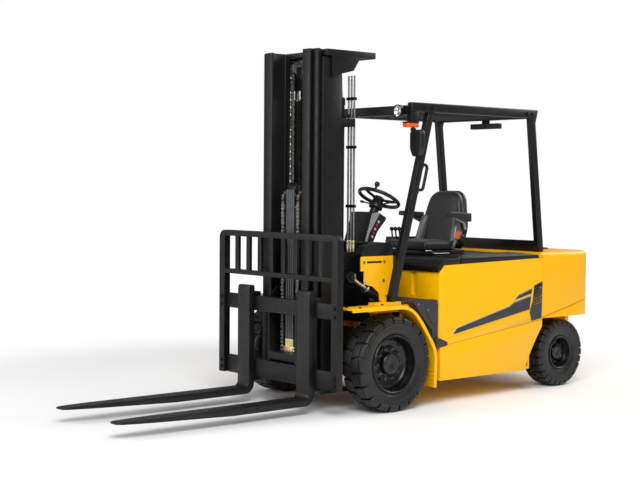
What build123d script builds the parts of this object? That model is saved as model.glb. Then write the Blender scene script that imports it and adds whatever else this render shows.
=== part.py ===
from build123d import *
import math
import os

# Electric counterbalance forklift with a three-stage mast, in millimetres.
# X runs forward, Y to the left and Z up. The pieces are drawn from the front axle, above the floor,
# and are moved at the end so that the middle of the whole truck stands over the origin.

# Wheels
WHEELBASE = 1980.0
FRONT_TYRE_RADIUS = 351.0
FRONT_TYRE_WIDTH = 222.0
FRONT_TYRE_OUTER_Y = 728.0
FRONT_RIM_RADIUS = 205.0
REAR_TYRE_RADIUS = 278.0
REAR_TYRE_WIDTH = 200.0
REAR_TYRE_OUTER_Y = 631.0
REAR_RIM_RADIUS = 126.0
RIM_WALL = 9.0
FRONT_LUGS = 20
REAR_LUGS = 26
FRONT_LUG_DEPTH = 20.0
REAR_LUG_DEPTH = 16.0
LUG_SHARE = 0.78
LUG_SLANT = 12.0
TREAD_GROOVE = 10.0
RIM_LIP = 11.0
HUB_RADIUS = 80.0
REAR_HUB_RADIUS = 58.0
SPINDLE_RADIUS = 48.0
REAR_SPINDLE_RADIUS = 32.0
RUNNING_GAP = 0.3

# Axles and steering
AXLE_TUBE_RADIUS = 75.0
DIFF_RADIUS = 140.0
DIFF_HALF_WIDTH = 165.0
BRAKE_RADIUS = 150.0
BRAKE_WIDTH = 60.0
KINGPIN_Y = 380.0
KINGPIN_RADIUS = 25.0
KINGPIN_BOSS_RADIUS = 42.0
STEER_BEAM_HALF_DEPTH = 40.0
STEER_BEAM_HALF_HEIGHT = 52.0
KNUCKLE_LUG = 28.0
STEERING_WHEEL_X = -480.0
STEERING_WHEEL_Z = 1557.0
STEERING_WHEEL_RADIUS = 178.0
STEERING_RIM_RADIUS = 14.0
STEERING_TILT = 27.0
STEERING_SPOKES = 3
SPOKE_WIDTH = 26.0
SPOKE_DEPTH = 10.0
STEERING_HUB_RADIUS = 42.0
STEERING_HUB_LENGTH = 34.0
KNOB_ANGLE = 302.0
KNOB_POST_RADIUS = 8.0
KNOB_RADIUS = 20.0
KNOB_TOP = 72.0
KNOB_LENGTH = 38.0

# Body
BODY_HALF_WIDTH = 665.0
WALL = 40.0
BODY_FRONT_X = -512.0
SILL_Z = 178.0
BELLY_PLATE = 25.0
SEAM_FRONT_Z = 438.0
SEAM_REAR_Z = 573.0
PANEL_TOP_FRONT_Z = 1053.0
PANEL_TOP_REAR_Z = 1077.0
TUB_AHEAD_OF_AXLE = 420.0
SEAM_GAP = 3.0
PANEL_CORNER = 34.0
LOUVRES = 7
LOUVRE_FRONT_X = -1588.0
LOUVRE_REAR_X = -1672.0
LOUVRE_TOP_Z = 834.0
LOUVRE_BOTTOM_Z = 698.0
LOUVRE_RISE = 25.0
LOUVRE_HEIGHT = 10.0
RECESS_INNER_Y = 341.0
RECESS_OUTER_Y = 398.0
RECESS_BOTTOM_Z = 815.0
RECESS_DEPTH = 22.0
REST_GAP = 0.3
ARCH_RADIUS = 372.0
COUNTERWEIGHT_AHEAD_OF_AXLE = 290.0
REAR_OVERHANG = 436.0
COUNTERWEIGHT_TOP_Z = 1118.0
COUNTERWEIGHT_BOTTOM_Z = 585.0
COUNTERWEIGHT_CORNER = 270.0
COUNTERWEIGHT_EDGE = 34.0
GROOVE_DEPTH = 12.0
GROOVE_WIDTH = 16.0
GROOVE_REAR_Z = 735.0
TOW_BORE_RADIUS = 17.0
TOW_BLOCK_HALF_WIDTH = 135.0
TOW_BLOCK_BOTTOM_Z = 395.0
TOW_SHELF_TOP_Z = 600.0
TOW_SHELF = 58.0
TOW_POCKET_HALF_WIDTH = 75.0
TOW_POCKET_HEIGHT = 220.0
TOW_POCKET_DEPTH = 78.0
BATTERY_GAP = 14.0
BATTERY_TOP_Z = 990.0

# Floor, cowl and fenders
FLOOR_Z = 790.0
FLOOR_PLATE = 25.0
FLOOR_HALF_WIDTH = 556.0
STEP_OUTER_Y = 640.0
STEP_FRONT_X = -200.0
STEP_OUTLINE = [(-250, 790), (-512, 790), (-512, 446), (-476, 431), (-452, 470), (-452, 560), (-330, 690)]
BRAKE_PEDAL = [(-150, 790), (-170, 790), (-250, 905), (-232, 915)]
DRIVE_PEDAL = [(-150, 790), (-170, 790), (-240, 890), (-222, 900)]
SIDE_RAIL_INNER_Y = 478.0
SIDE_RAIL_BOTTOM_Z = 714.0
FLOOR_FRONT_X = -60.0
BULKHEAD = 16.0
BULKHEAD_BOTTOM_Z = 620.0
COWL_HALF_WIDTH = 462.0
COWL_PLATE = 12.0
COWL_FOOT_OUTER_Y = 496.0
COWL_TOP_Z = 1130.0
COWL_WING = [(-204, 790), (-74, 790), (-68, 850), (-2, 905), (62, 920), (140, 990), (140, 1100),
             (110, 1130), (-204, 1130)]
COWL_WING_CORNERS = [2, 12, 44, 30, 30, 20, 16, 16, 2]
COWL_FOOT_X = -76.0
COWL_CAP_INNER_Y = 385.0
DASH_OUTLINE = [(-60, 1130), (-62, 1222), (-76, 1233), (-193, 1226), (-214, 1205), (-206, 1130)]
CAP_OUTLINE = [(112, 1135), (118, 1149), (83, 1204), (-56, 1233), (-150, 1228), (-150, 1130), (100, 1130)]
POD_OUTLINE = [(-204, 1140), (-217, 1210), (-271, 1365), (-293, 1446), (-360, 1450), (-457, 1400),
               (-357, 1297),
               (-299, 1190), (-287, 1140)]
POD_HALF_WIDTH = 120.0
POD_CORNER = 14.0
COLUMN_RADIUS = 34.0
COLUMN_LENGTH = 150.0
COLUMN_DROP = 30.0
FENDER_OUTER_Y = 735.0
FENDER_SHEET = 14.0
FENDER_LIP = 26.0
FENDER_TOP_Z = 779.0
FENDER_FRONT_X = 436.0
FENDER_REAR_X = -413.0
FENDER_BOTTOM_Z = 146.0
FENDER_BEND = [(-25, 779), (-230, 684), (-350, 522), (-413, 345)]
LONGITUDINAL_INNER_Y = 350.0
LONGITUDINAL_OUTER_Y = 460.0
LONGITUDINAL_TOP_Z = 560.0

# Overhead guard
GUARD_Y = 528.0
GUARD_TUBE_WIDTH = 56.0
GUARD_TUBE_DEPTH = 64.0
GUARD_FRONT_X = -296.0
GUARD_AHEAD_OF_AXLE = 243.0
GUARD_TOP_Z = 2283.0
GUARD_RAIL = 70.0
GUARD_BEAM_DROP = 22.0
PILLAR_FOOT_X = -125.0
PILLAR_LEAN = 0.2674
REAR_PILLAR_AHEAD_OF_AXLE = 185.0
REAR_PILLAR_LEAN = 0.111
ROOF_BARS = 7
ROOF_BAR_THICKNESS = 12.0
ROOF_BAR_HEIGHT = 56.0
REAR_PANEL_TOP_Z = 1210.0
LAMP_RADIUS = 47.0
LAMP_RAISE = 27.0
GUSSET_DEPTH = 70.0
GUSSET_HEIGHT = 78.0
SIGNAL_REACH = 80.0
SIGNAL_HEIGHT = 30.0
SIGNAL_OUTER = 50.0
MIRROR_WIDTH = 130.0
MIRROR_HEIGHT = 200.0
MIRROR_DEPTH = 50.0
MIRROR_CORNER = 34.0
MIRROR_ARM = 30.0
MIRROR_ARM_RADIUS = 9.0
REAR_LAMP_HALF_WIDTH = 160.0
REAR_LAMP_HEIGHT = 46.0
REAR_LAMP_DROP = 26.0
HANDLE_LOW_Z = 1625.0
HANDLE_HIGH_Z = 1815.0
HANDLE_REACH = 62.0
HANDLE_BEND = 24.0
HANDLE_RADIUS = 12.0
ROOF_FIRST_BAR = 190.0
ROOF_LAST_BAR = 150.0
ROOF_BAR_TURN = 24.0
FRONT_BEAM = 60.0
REAR_BEAM = 56.0
LAMP_DEPTH = 52.0
LAMP_BEZEL = 6.0

# Mast, seen from above: each stage nests in the one outside it
RAIL_TOP_Z = 2650.0
OUTER_TOP_DROP = 60.0
RAIL_BOTTOM_Z = 150.0
OUTER_BOTTOM_Z = 120.0
MAST_HALF_WIDTH = 342.0
MAST_REAR_X = 216.0
RAIL_DEPTH = 180.0
RAIL_FLANGE = 24.0
RAIL_WEB = 16.0
STAGE_STEP_X = 32.0
STAGE_STEP_Y = 56.0
FLANGE_INWARD = 34.0
FLANGE_OUTWARD = 34.0
CROSS_PLATE = 24.0
OUTER_CROSS_X = 84.0
OUTER_PLATES = [(480, 600), (1030, 1160)]
OUTER_TOP_PLATE_DROP = 500.0
OUTER_TOP_PLATE_HEIGHT = 60.0
MIDDLE_TOP_PLATE_DROP = 280.0
MIDDLE_TOP_PLATE_HEIGHT = 100.0
INNER_WAIST_Z = 740.0
INNER_WAIST_HEIGHT = 110.0
BARREL_CLAMP_DROP = 510.0
BARREL_CLAMP_HEIGHT = 50.0
LIFT_CYLINDER_X = 155.0
LIFT_CYLINDER_Y = 250.0
LIFT_BARREL_RADIUS = 36.0
LIFT_BARREL_WALL = 9.0
LIFT_BARREL_DROP = 350.0
LIFT_ROD_RADIUS = 22.0
ROD_GAP = 0.5
TOP_PLATE = 47.0
TOP_PLATE_REAR_X = -102.0
TOP_PLATE_FRONT_X = 371.0
TOP_PLATE_HALF_WIDTH = 360.0
FREE_LIFT_X = 355.0
FREE_BARREL_RADIUS = 46.0
FREE_BARREL_WALL = 11.0
FREE_BARREL_TOP_Z = 1500.0
FREE_ROD_RADIUS = 28.0
FREE_ROD_FOOT = 110.0
YOKE_GAP = 4.0
YOKE_HALF_DEPTH = 36.0
SADDLE_RISE = 10.0
SADDLE = 30.0
CROSSHEAD_RISE = 120.0
CHAIN_PULLEY_DROP = 70.0
PULLEY_PIN_RADIUS = 22.0
CHAIN_PULLEY_RADIUS = 50.0
HOSE_PULLEY_RADIUS = 54.0
CHAIN_Y = 90.0
CHAIN_WIDTH = 30.0
CHAIN_THICKNESS = 20.0
HOSE_RADIUS = 9.0
HOSE_PITCH = 24.0
HOSES = 4
MAIN_CHAIN_Y = 132.0
MAIN_CHAIN_PULLEY_DROP = 120.0
MAIN_CHAIN_PULLEY_RADIUS = 38.0
MAIN_CHAIN_X = 252.0
CHAIN_ANCHOR_Z = 400.0
CHAIN_FOOT_Z = 290.0
MAIN_CHAIN_ANCHOR_Z = 590.0
CHAIN_PITCH = 28.0
CHAIN_WAIST = 3.5
PIPE_RADIUS = 9.0
PIPE_INSET = 4.0
PIPE_PITCH = 32.0
PIPE_FITTING_RADIUS = 10.0
PIPE_FITTING_Z = 1110.0
PIPE_FITTING_HEIGHT = 120.0
PIPE_TOP_DROP = 180.0

# Carriage and forks
BAR_REAR_X = 495.0
BAR_THICKNESS = 40.0
UPPER_BAR_TOP_Z = 812.0
UPPER_BAR_HEIGHT = 112.0
LOWER_BAR_BOTTOM_Z = 195.0
LOWER_BAR_HEIGHT = 135.0
ROLLER_PLATE = 22.0
ROLLER_RADIUS = 61.0
BACKREST_HALF_WIDTH = 707.0
BACKREST_TOP_Z = 1303.0
BACKREST_POST = 67.0
BACKREST_REAR_X = 505.0
BACKREST_DEPTH = 55.0
BACKREST_RAIL_Z = 968.0
BACKREST_RAIL = 34.0
BACKREST_BARS = 8
BACKREST_BAR = 44.0
BACKREST_CORNER = 60.0
FORK_LENGTH = 1580.0
FORK_WIDTH = 146.0
FORK_THICKNESS = 50.0
FORK_TIP_THICKNESS = 14.0
FORK_BOTTOM_Z = 66.0
FORK_Y = 357.0
FORK_TOP_Z = 893.0
FORK_SEAT_GAP = 0.3
HOOK_DEPTH = 30.0
HEEL_RADIUS = 78.0
HEEL_INNER_RADIUS = 34.0
TIP_TAPER = 300.0
TIP_WIDTH = 84.0
TIP_CORNER = 30.0
HOOK_LIP = 26.0

# Tilt cylinders
TILT_Y = 405.0
TILT_MAST_X = 180.0
TILT_MAST_Z = 980.0
TILT_FRAME_X = -330.0
TILT_FRAME_Z = 700.0
TILT_BARREL_RADIUS = 40.0
TILT_BARREL_WALL = 10.0
TILT_ROD_RADIUS = 22.0
TILT_PIN_RADIUS = 20.0
TILT_EYE_RADIUS = 42.0
TILT_EYE_GAP = 3.5
TILT_EYE_WIDTH = 46.0
TILT_CHEEK = 12.0
TILT_CHEEK_GAP = 3.0

# Hood and seat
HOOD_FRONT_X = -745.0
HOOD_AHEAD_OF_AXLE = 325.0
HINGE_RADIUS = 12.0
HINGE_HALF_LENGTH = 420.0
HOOD_HALF_WIDTH = 648.0
HOOD_TOP_Z = 1100.0
HOOD_EDGE = 14.0
DECK_LIP_Z = 1003.0
DECK_GAP = 8.0
SEAT_HALF_WIDTH = 245.0
SEAT_FRONT_X = -752.0
SEAT_REAR_X = -1128.0
SEAT_BASE_HEIGHT = 40.0
CUSHION_HEIGHT = 92.0
CUSHION_NOSE = 38.0
SEAT_SHOULDER = 90.0
SEAT_BACK_TOP_Z = 1620.0
SEAT_BACK_THICKNESS = 105.0
SEAT_BACK_LEAN = 0.08
ARMREST_OUTLINE = [(-975, 1412), (-982, 1449), (-1228, 1438), (-1232, 1366), (-1074, 1402)]
ARMREST_WIDTH = 56.0
CONSOLE_GAP = 30.0
CONSOLE_WIDTH = 120.0
CONSOLE_ARM = [(-920, 1180), (-930, 1230), (-1300, 1225), (-1300, 1165), (-960, 1160)]
CONSOLE_POST = (-1260, -1150)
CONSOLE_POST_TOP_Z = 1200.0
LEVERS = 4
LEVER_RADIUS = 7.0
LEVER_PITCH = 26.0
LEVER_FIRST_X = -975.0
LEVER_LOW_Z = 1220.0
LEVER_TOP_Z = 1290.0

TUB_REAR_X = TUB_AHEAD_OF_AXLE - WHEELBASE
COUNTERWEIGHT_FRONT_X = COUNTERWEIGHT_AHEAD_OF_AXLE - WHEELBASE
COUNTERWEIGHT_REAR_X = -REAR_OVERHANG - WHEELBASE
GUARD_REAR_X = GUARD_AHEAD_OF_AXLE - WHEELBASE
REAR_PILLAR_FOOT_X = REAR_PILLAR_AHEAD_OF_AXLE - WHEELBASE
HOOD_REAR_X = HOOD_AHEAD_OF_AXLE - WHEELBASE
FORK_FACE_X = BAR_REAR_X + BAR_THICKNESS + FORK_SEAT_GAP + FORK_THICKNESS
FORK_TIP_X = FORK_FACE_X + FORK_LENGTH
TRUCK_MIDDLE_X = (FORK_TIP_X + COUNTERWEIGHT_REAR_X) / 2
FRONT_WHEEL_Y = FRONT_TYRE_OUTER_Y - FRONT_TYRE_WIDTH / 2
REAR_WHEEL_Y = REAR_TYRE_OUTER_Y - REAR_TYRE_WIDTH / 2
INNER_WALL_Y = BODY_HALF_WIDTH - WALL
BAR_HALF_WIDTH = BACKREST_HALF_WIDTH - BACKREST_POST
OUTER_TOP_Z = RAIL_TOP_Z - OUTER_TOP_DROP
LIFT_BARREL_TOP_Z = RAIL_TOP_Z - LIFT_BARREL_DROP
MAIN_CHAIN_PULLEY_Z = RAIL_TOP_Z - MAIN_CHAIN_PULLEY_DROP
CROSSHEAD_Z = FREE_BARREL_TOP_Z + CROSSHEAD_RISE
CHAIN_PULLEY_Z = CROSSHEAD_Z - CHAIN_PULLEY_DROP


def block(x, y, z):
    """A box between the two values given along each axis."""
    size = [max(pair) - min(pair) for pair in (x, y, z)]
    middle = [(pair[0] + pair[1]) / 2 for pair in (x, y, z)]
    return Pos(*middle) * Box(*size)


def outline_face(points, radii):
    """A flat face in the XY plane with its corners rounded by one radius or by one each."""
    if radii:
        return make_face(FilletPolyline(*points, radius=radii, close=True))
    return make_face(Polyline(*points, close=True))


def side_plate(points, y_from, y_to, radii=0):
    """An (x, z) outline, as seen from the side, between two places across the truck."""
    face = Plane.XZ * outline_face(points, radii)
    return Pos(0, y_from, 0) * extrude(face, amount=y_to - y_from, dir=(0, 1, 0))


def plan_plate(points, z_from, z_to, radii=0):
    """An (x, y) outline, as seen from above, between two heights."""
    return Pos(0, 0, z_from) * extrude(outline_face(points, radii), amount=z_to - z_from, dir=(0, 0, 1))


def front_plate(points, x_from, x_to, radii=0):
    """A (y, z) outline, as seen from the front, between two places along the truck."""
    face = Plane.YZ * outline_face(points, radii)
    return Pos(x_from, 0, 0) * extrude(face, amount=x_to - x_from, dir=(1, 0, 0))


def rod(start, end, radius):
    """A round bar from one point to another."""
    way = Vector(*end) - Vector(*start)
    return extrude(Plane(origin=start, z_dir=way) * Circle(radius), amount=way.length, dir=way)


def rod_y(x, z, y_from, y_to, radius):
    """A round bar across the truck."""
    return rod((x, y_from, z), (x, y_to, z), radius)


def rod_z(x, y, z_from, z_to, radius):
    """An upright round bar."""
    return rod((x, y, z_from), (x, y, z_to), radius)


def both_sides(part):
    """The part and its mirror image on the other side of the truck."""
    return part + mirror(part, about=Plane.XZ)


def turned(points):
    """A ring turned about the Y axis from a closed (radius, y) outline."""
    return revolve(make_face(Polyline(*points, close=True)), Axis.Y)


def carcass(outer, width, rim, depth):
    """A tyre under its lugs, about the Y axis."""
    half = width / 2
    wall = outer - rim
    base = outer - depth
    side = [(rim, 0.78 * half), (rim + RIM_LIP + 2, 0.78 * half), (rim + 0.42 * wall, 0.97 * half),
            (rim + 0.6 * wall, 0.97 * half), (base - 0.1 * wall, 0.93 * half), (base, 0.7 * half)]
    return turned(side + [(radius, -along) for radius, along in reversed(side)])


def lug(outer, width, rim, length):
    """A slanting lug on the left half of the tread, its crown's corners out at the tyre's full radius."""
    half = width / 2
    wall = outer - rim
    shear = math.tan(math.radians(LUG_SLANT))
    lean = 0.36 * half * shear
    crown = math.sqrt(outer ** 2 - (length / 2 + lean) ** 2)
    root = outer - 0.4 * wall
    section = [(root, TREAD_GROOVE / 2), (crown, TREAD_GROOVE / 2), (crown, 0.72 * half),
               (crown - 0.05 * wall, 0.86 * half), (crown - 0.18 * wall, half), (crown - 0.28 * wall, half),
               (root, 0.9 * half)]
    prism = Pos(0, 0, -length) * extrude(make_face(Polyline(*section, close=True)), amount=2 * length,
                                         dir=(0, 0, 1))
    slanted = front_plate(
        [(0, -length / 2 - lean), (half, -length / 2 - lean + half * shear),
         (half, length / 2 - lean + half * shear),
         (0, length / 2 - lean)], root, outer)
    return prism & slanted


def tyre(outer, width, rim, lugs, depth):
    """A tyre about the Y axis: its carcass with two staggered rows of slanting lugs."""
    pitch = 360 / lugs
    left = lug(outer, width, rim, LUG_SHARE * outer * math.radians(pitch))
    right = mirror(left, about=Plane.XZ)
    rows = [Rot(0, 90 + index * pitch, 0) * left for index in range(lugs)]
    rows += [Rot(0, 90 + (index + 0.5) * pitch, 0) * right for index in range(lugs)]
    return carcass(outer, width, rim, depth) + rows


def rim(width, rim_radius, hub, spindle):
    """A dished wheel about the Y axis, its outer side towards +Y, with a blind bore for the spindle."""
    edge = 0.78 * width / 2
    lip = rim_radius + RIM_LIP
    inside = rim_radius - RIM_WALL
    disc = -0.02 * width
    plate = 0.07 * width
    cap = 0.3 * width
    bore = spindle + RUNNING_GAP
    shell = turned([
        (lip, edge + RIM_LIP), (inside, edge + RIM_LIP), (inside, disc + plate), (hub + 4 * RIM_LIP,
                                                                                  disc + plate),
        (hub + RIM_LIP, disc + 2 * plate), (hub, disc + 2 * plate), (0.92 * hub, cap), (0, cap),
        (0, cap - RIM_WALL), (bore, cap - RIM_WALL), (bore, disc - plate), (hub, disc - plate), (hub, disc),
        (inside, disc), (inside, -edge - RIM_LIP), (lip, -edge - RIM_LIP), (lip, -edge),
        (rim_radius, -edge), (rim_radius, edge), (lip, edge)])
    return shell


def placed_wheel(part, x, y, z):
    """A wheel part drawn for the left side, set on the side that y gives."""
    on_side = part if y > 0 else mirror(part, about=Plane.XZ)
    return Pos(x, y, z) * on_side


def spindle_end(width, wheel_y):
    """How far out a spindle reaches inside its wheel."""
    return wheel_y + 0.3 * width - RIM_WALL - 4


def drive_axle():
    """The front axle: tube, differential with its motor, brake drums and spindles."""
    z = FRONT_TYRE_RADIUS
    brake_end = FRONT_WHEEL_Y - 0.09 * FRONT_TYRE_WIDTH - RUNNING_GAP
    axle = rod_y(0, z, -brake_end, brake_end, AXLE_TUBE_RADIUS)
    axle += rod_y(0, z, -DIFF_HALF_WIDTH, DIFF_HALF_WIDTH, DIFF_RADIUS)
    axle += rod((0, 0, z), (-DIFF_RADIUS * 2.1, 0, z), 0.78 * DIFF_RADIUS)
    brake = rod_y(0, z, brake_end - BRAKE_WIDTH, brake_end, BRAKE_RADIUS)
    end = rod_y(0, z, 0, spindle_end(FRONT_TYRE_WIDTH, FRONT_WHEEL_Y), SPINDLE_RADIUS)
    return axle + both_sides(brake) + both_sides(end)


def steer_axle():
    """The rear axle beam with its kingpin bosses, pivot pins and steering cylinder."""
    z = REAR_TYRE_RADIUS
    half = STEER_BEAM_HALF_HEIGHT
    depth = STEER_BEAM_HALF_DEPTH
    straight = KINGPIN_Y - 1.6 * KINGPIN_BOSS_RADIUS
    waist = 0.4 * KINGPIN_Y
    beam = front_plate(
        [(-KINGPIN_Y, z - half), (-straight, z - half), (-waist, z - 1.3 * half), (waist, z - 1.3 * half),
         (straight, z - half), (KINGPIN_Y, z - half), (KINGPIN_Y, z + half), (-KINGPIN_Y, z + half)],
        -WHEELBASE - depth, -WHEELBASE + depth)
    boss = rod_z(-WHEELBASE, KINGPIN_Y, z - half, z + half, KINGPIN_BOSS_RADIUS)
    bore = rod_z(-WHEELBASE, KINGPIN_Y, 0, 2 * z, KINGPIN_RADIUS + RUNNING_GAP)
    pivot = rod((-WHEELBASE - 2.2 * depth, 0, z + 0.2 * half),
                (-WHEELBASE + 2.2 * depth, 0, z + 0.2 * half), 0.7 * half)
    return beam + both_sides(boss) + pivot - both_sides(bore)


def knuckle():
    """A left steering knuckle: two lugs on a kingpin, the plate that joins them and the wheel's spindle."""
    z = REAR_TYRE_RADIUS
    half = STEER_BEAM_HALF_HEIGHT + 1.0
    plate_y = KINGPIN_Y + KINGPIN_BOSS_RADIUS + 4
    plate = 20.0
    lug = rod_z(-WHEELBASE, KINGPIN_Y, z + half, z + half + KNUCKLE_LUG, KINGPIN_BOSS_RADIUS)
    lug += block((-WHEELBASE - KINGPIN_BOSS_RADIUS, -WHEELBASE + KINGPIN_BOSS_RADIUS), (KINGPIN_Y, plate_y),
                 (z + half, z + half + KNUCKLE_LUG))
    lower = Pos(0, 0, -2 * half - KNUCKLE_LUG) * lug
    pin = rod_z(-WHEELBASE, KINGPIN_Y, z - half - KNUCKLE_LUG, z + half + KNUCKLE_LUG, KINGPIN_RADIUS)
    web = block((-WHEELBASE - KINGPIN_BOSS_RADIUS, -WHEELBASE + KINGPIN_BOSS_RADIUS),
                (plate_y, plate_y + plate),
                (z - half - KNUCKLE_LUG, z + half + KNUCKLE_LUG))
    shoulder = REAR_WHEEL_Y - 0.09 * REAR_TYRE_WIDTH - RUNNING_GAP
    hub = rod_y(-WHEELBASE, z, plate_y, shoulder, REAR_HUB_RADIUS)
    end = rod_y(-WHEELBASE, z, plate_y, spindle_end(REAR_TYRE_WIDTH, REAR_WHEEL_Y), REAR_SPINDLE_RADIUS)
    return lug + lower + pin + web + hub + end


def steering_frame():
    """The plane of the steering wheel, its normal along the column."""
    lean = math.radians(STEERING_TILT)
    return Plane(origin=(STEERING_WHEEL_X, 0, STEERING_WHEEL_Z), x_dir=(0, 1, 0),
                 z_dir=(-math.sin(lean), 0, math.cos(lean)))


def steering_wheel():
    """Rim, spokes, hub and spinner knob on its post."""
    reach = STEERING_WHEEL_RADIUS - STEERING_RIM_RADIUS
    wheel = Torus(reach, STEERING_RIM_RADIUS)
    wheel += Pos(0, 0, -12) * Cylinder(STEERING_HUB_RADIUS, STEERING_HUB_LENGTH)
    for index in range(STEERING_SPOKES):
        spoke = Pos(reach / 2, 0, -6) * Box(reach, SPOKE_WIDTH, SPOKE_DEPTH)
        wheel += Rot(0, 0, 90 + 360 * index / STEERING_SPOKES) * spoke
    post = Pos(reach, 0, KNOB_TOP / 2) * Cylinder(KNOB_POST_RADIUS, KNOB_TOP)
    knob = Pos(reach, 0, KNOB_TOP - KNOB_LENGTH / 2) * Cylinder(KNOB_RADIUS, KNOB_LENGTH)
    return steering_frame() * (wheel + Rot(0, 0, KNOB_ANGLE) * (post + fillet(knob.edges(),
                                                                              0.4 * KNOB_RADIUS)))


def sill_outline(top_front, top_rear):
    """The lower side wall with the front of the rear arch, up to a sloping seam."""
    arch_low = (-WHEELBASE + 1.36 * ARCH_RADIUS, SILL_Z)
    arch_mid = (-WHEELBASE + ARCH_RADIUS, REAR_TYRE_RADIUS + 0.36 * ARCH_RADIUS)
    arch_end = (COUNTERWEIGHT_FRONT_X + SEAM_GAP, 519.0)
    edge = Polyline((BODY_FRONT_X, top_front), (BODY_FRONT_X, SILL_Z), arch_low)
    arch = ThreePointArc(arch_low, arch_mid, arch_end)
    back = Polyline(arch_end, (COUNTERWEIGHT_FRONT_X + SEAM_GAP, top_rear), (BODY_FRONT_X, top_front))
    return make_face(Curve() + [edge, arch, back])


def chassis_frame():
    """The welded frame: battery tub, front longitudinals over the axle, floor rails and rear spine."""
    wall_face = Plane.XZ * sill_outline(SEAM_FRONT_Z, SEAM_REAR_Z)
    wall = Pos(0, INNER_WALL_Y, 0) * extrude(wall_face, amount=WALL, dir=(0, 1, 0))
    frame = both_sides(wall)
    frame += block((TUB_REAR_X - WALL / 2, BODY_FRONT_X), (-INNER_WALL_Y, INNER_WALL_Y),
                   (SILL_Z, SILL_Z + BELLY_PLATE))
    frame += block((BODY_FRONT_X - WALL, BODY_FRONT_X), (-INNER_WALL_Y, INNER_WALL_Y),
                   (SILL_Z, DECK_LIP_Z - SEAM_GAP))
    frame += block((TUB_REAR_X - WALL / 2, TUB_REAR_X), (-INNER_WALL_Y, INNER_WALL_Y),
                   (SILL_Z, DECK_LIP_Z - SEAM_GAP))
    frame -= both_sides(block((BODY_FRONT_X - RECESS_DEPTH, BODY_FRONT_X + 1),
                              (RECESS_INNER_Y, RECESS_OUTER_Y),
                              (RECESS_BOTTOM_Z, DECK_LIP_Z)))
    axle_top = FRONT_TYRE_RADIUS + AXLE_TUBE_RADIUS
    beam = side_plate(
        [(BODY_FRONT_X, SILL_Z + 120), (BODY_FRONT_X, LONGITUDINAL_TOP_Z), (40, LONGITUDINAL_TOP_Z),
         (AXLE_TUBE_RADIUS, axle_top), (AXLE_TUBE_RADIUS, FRONT_TYRE_RADIUS), (-AXLE_TUBE_RADIUS - 25,
                                                                               FRONT_TYRE_RADIUS)],
        LONGITUDINAL_INNER_Y, LONGITUDINAL_OUTER_Y)
    beam -= rod_y(0, FRONT_TYRE_RADIUS, 0, FRONT_TYRE_OUTER_Y, AXLE_TUBE_RADIUS)
    cheek_in = TILT_BARREL_RADIUS + TILT_CHEEK_GAP
    cheek_outline = [
        (TILT_FRAME_X - 75, LONGITUDINAL_TOP_Z), (TILT_FRAME_X + 75, LONGITUDINAL_TOP_Z),
        (TILT_FRAME_X + 32, TILT_FRAME_Z + 34), (TILT_FRAME_X - 32, TILT_FRAME_Z + 34)]
    for inner in (TILT_Y - cheek_in - TILT_CHEEK, TILT_Y + cheek_in):
        beam += side_plate(cheek_outline, inner, inner + TILT_CHEEK)
    beam += rod_y(TILT_FRAME_X, TILT_FRAME_Z, TILT_Y - cheek_in - TILT_CHEEK,
                  TILT_Y + cheek_in + TILT_CHEEK, TILT_PIN_RADIUS)
    rail = block((BODY_FRONT_X, 60), (SIDE_RAIL_INNER_Y, FLOOR_HALF_WIDTH),
                 (SIDE_RAIL_BOTTOM_Z, FLOOR_Z - FLOOR_PLATE))
    rail += block((-200, 60), (SIDE_RAIL_INNER_Y, FLOOR_HALF_WIDTH), (FLOOR_Z - FLOOR_PLATE, FLOOR_Z))
    post = block((-470, -400), (LONGITUDINAL_INNER_Y, SIDE_RAIL_INNER_Y + 40),
                 (LONGITUDINAL_TOP_Z - 60, SIDE_RAIL_BOTTOM_Z + 20))
    frame += both_sides(beam + rail + post)
    spine_half = 105.0
    spine_bottom = REAR_TYRE_RADIUS + 1.5 * STEER_BEAM_HALF_HEIGHT
    frame += block((COUNTERWEIGHT_REAR_X + 270, TUB_REAR_X), (-spine_half, spine_half),
                   (spine_bottom, COUNTERWEIGHT_BOTTOM_Z))
    for side in (-1, 1):
        near = -WHEELBASE + side * (STEER_BEAM_HALF_DEPTH + 2)
        far = near + side * 46
        ear = block((near, far), (-62, 62), (REAR_TYRE_RADIUS - 45, spine_bottom + 30))
        ear -= rod((near - 60, 0, REAR_TYRE_RADIUS + 0.2 * STEER_BEAM_HALF_HEIGHT),
                   (near + 60, 0,
                    REAR_TYRE_RADIUS + 0.2 * STEER_BEAM_HALF_HEIGHT), 0.7 * STEER_BEAM_HALF_HEIGHT)
        frame += ear
    return frame


def side_panel(side):
    """An upper side cover over the battery, above the seam."""
    rear = COUNTERWEIGHT_FRONT_X + SEAM_GAP
    panel = side_plate(
        [(BODY_FRONT_X, SEAM_FRONT_Z + SEAM_GAP), (rear, SEAM_REAR_Z + SEAM_GAP), (rear, PANEL_TOP_REAR_Z),
         (BODY_FRONT_X - 50, PANEL_TOP_FRONT_Z), (BODY_FRONT_X, DECK_LIP_Z - SEAM_GAP)],
        INNER_WALL_Y, BODY_HALF_WIDTH)
    corner = panel.edges().filter_by(Axis.Z).group_by(Axis.X)[-1].sort_by(Axis.Y)[-1]
    panel = fillet(corner, PANEL_CORNER)
    pitch = (LOUVRE_TOP_Z - LOUVRE_BOTTOM_Z) / (LOUVRES - 1)
    for index in range(LOUVRES):
        low = LOUVRE_BOTTOM_Z + index * pitch
        panel -= side_plate(
            [(LOUVRE_FRONT_X, low), (LOUVRE_REAR_X, low + LOUVRE_RISE),
             (LOUVRE_REAR_X, low + LOUVRE_RISE + LOUVRE_HEIGHT),
             (LOUVRE_FRONT_X, low + LOUVRE_HEIGHT)],
            INNER_WALL_Y - 1, BODY_HALF_WIDTH + 1)
    return panel if side > 0 else mirror(panel, about=Plane.XZ)


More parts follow.
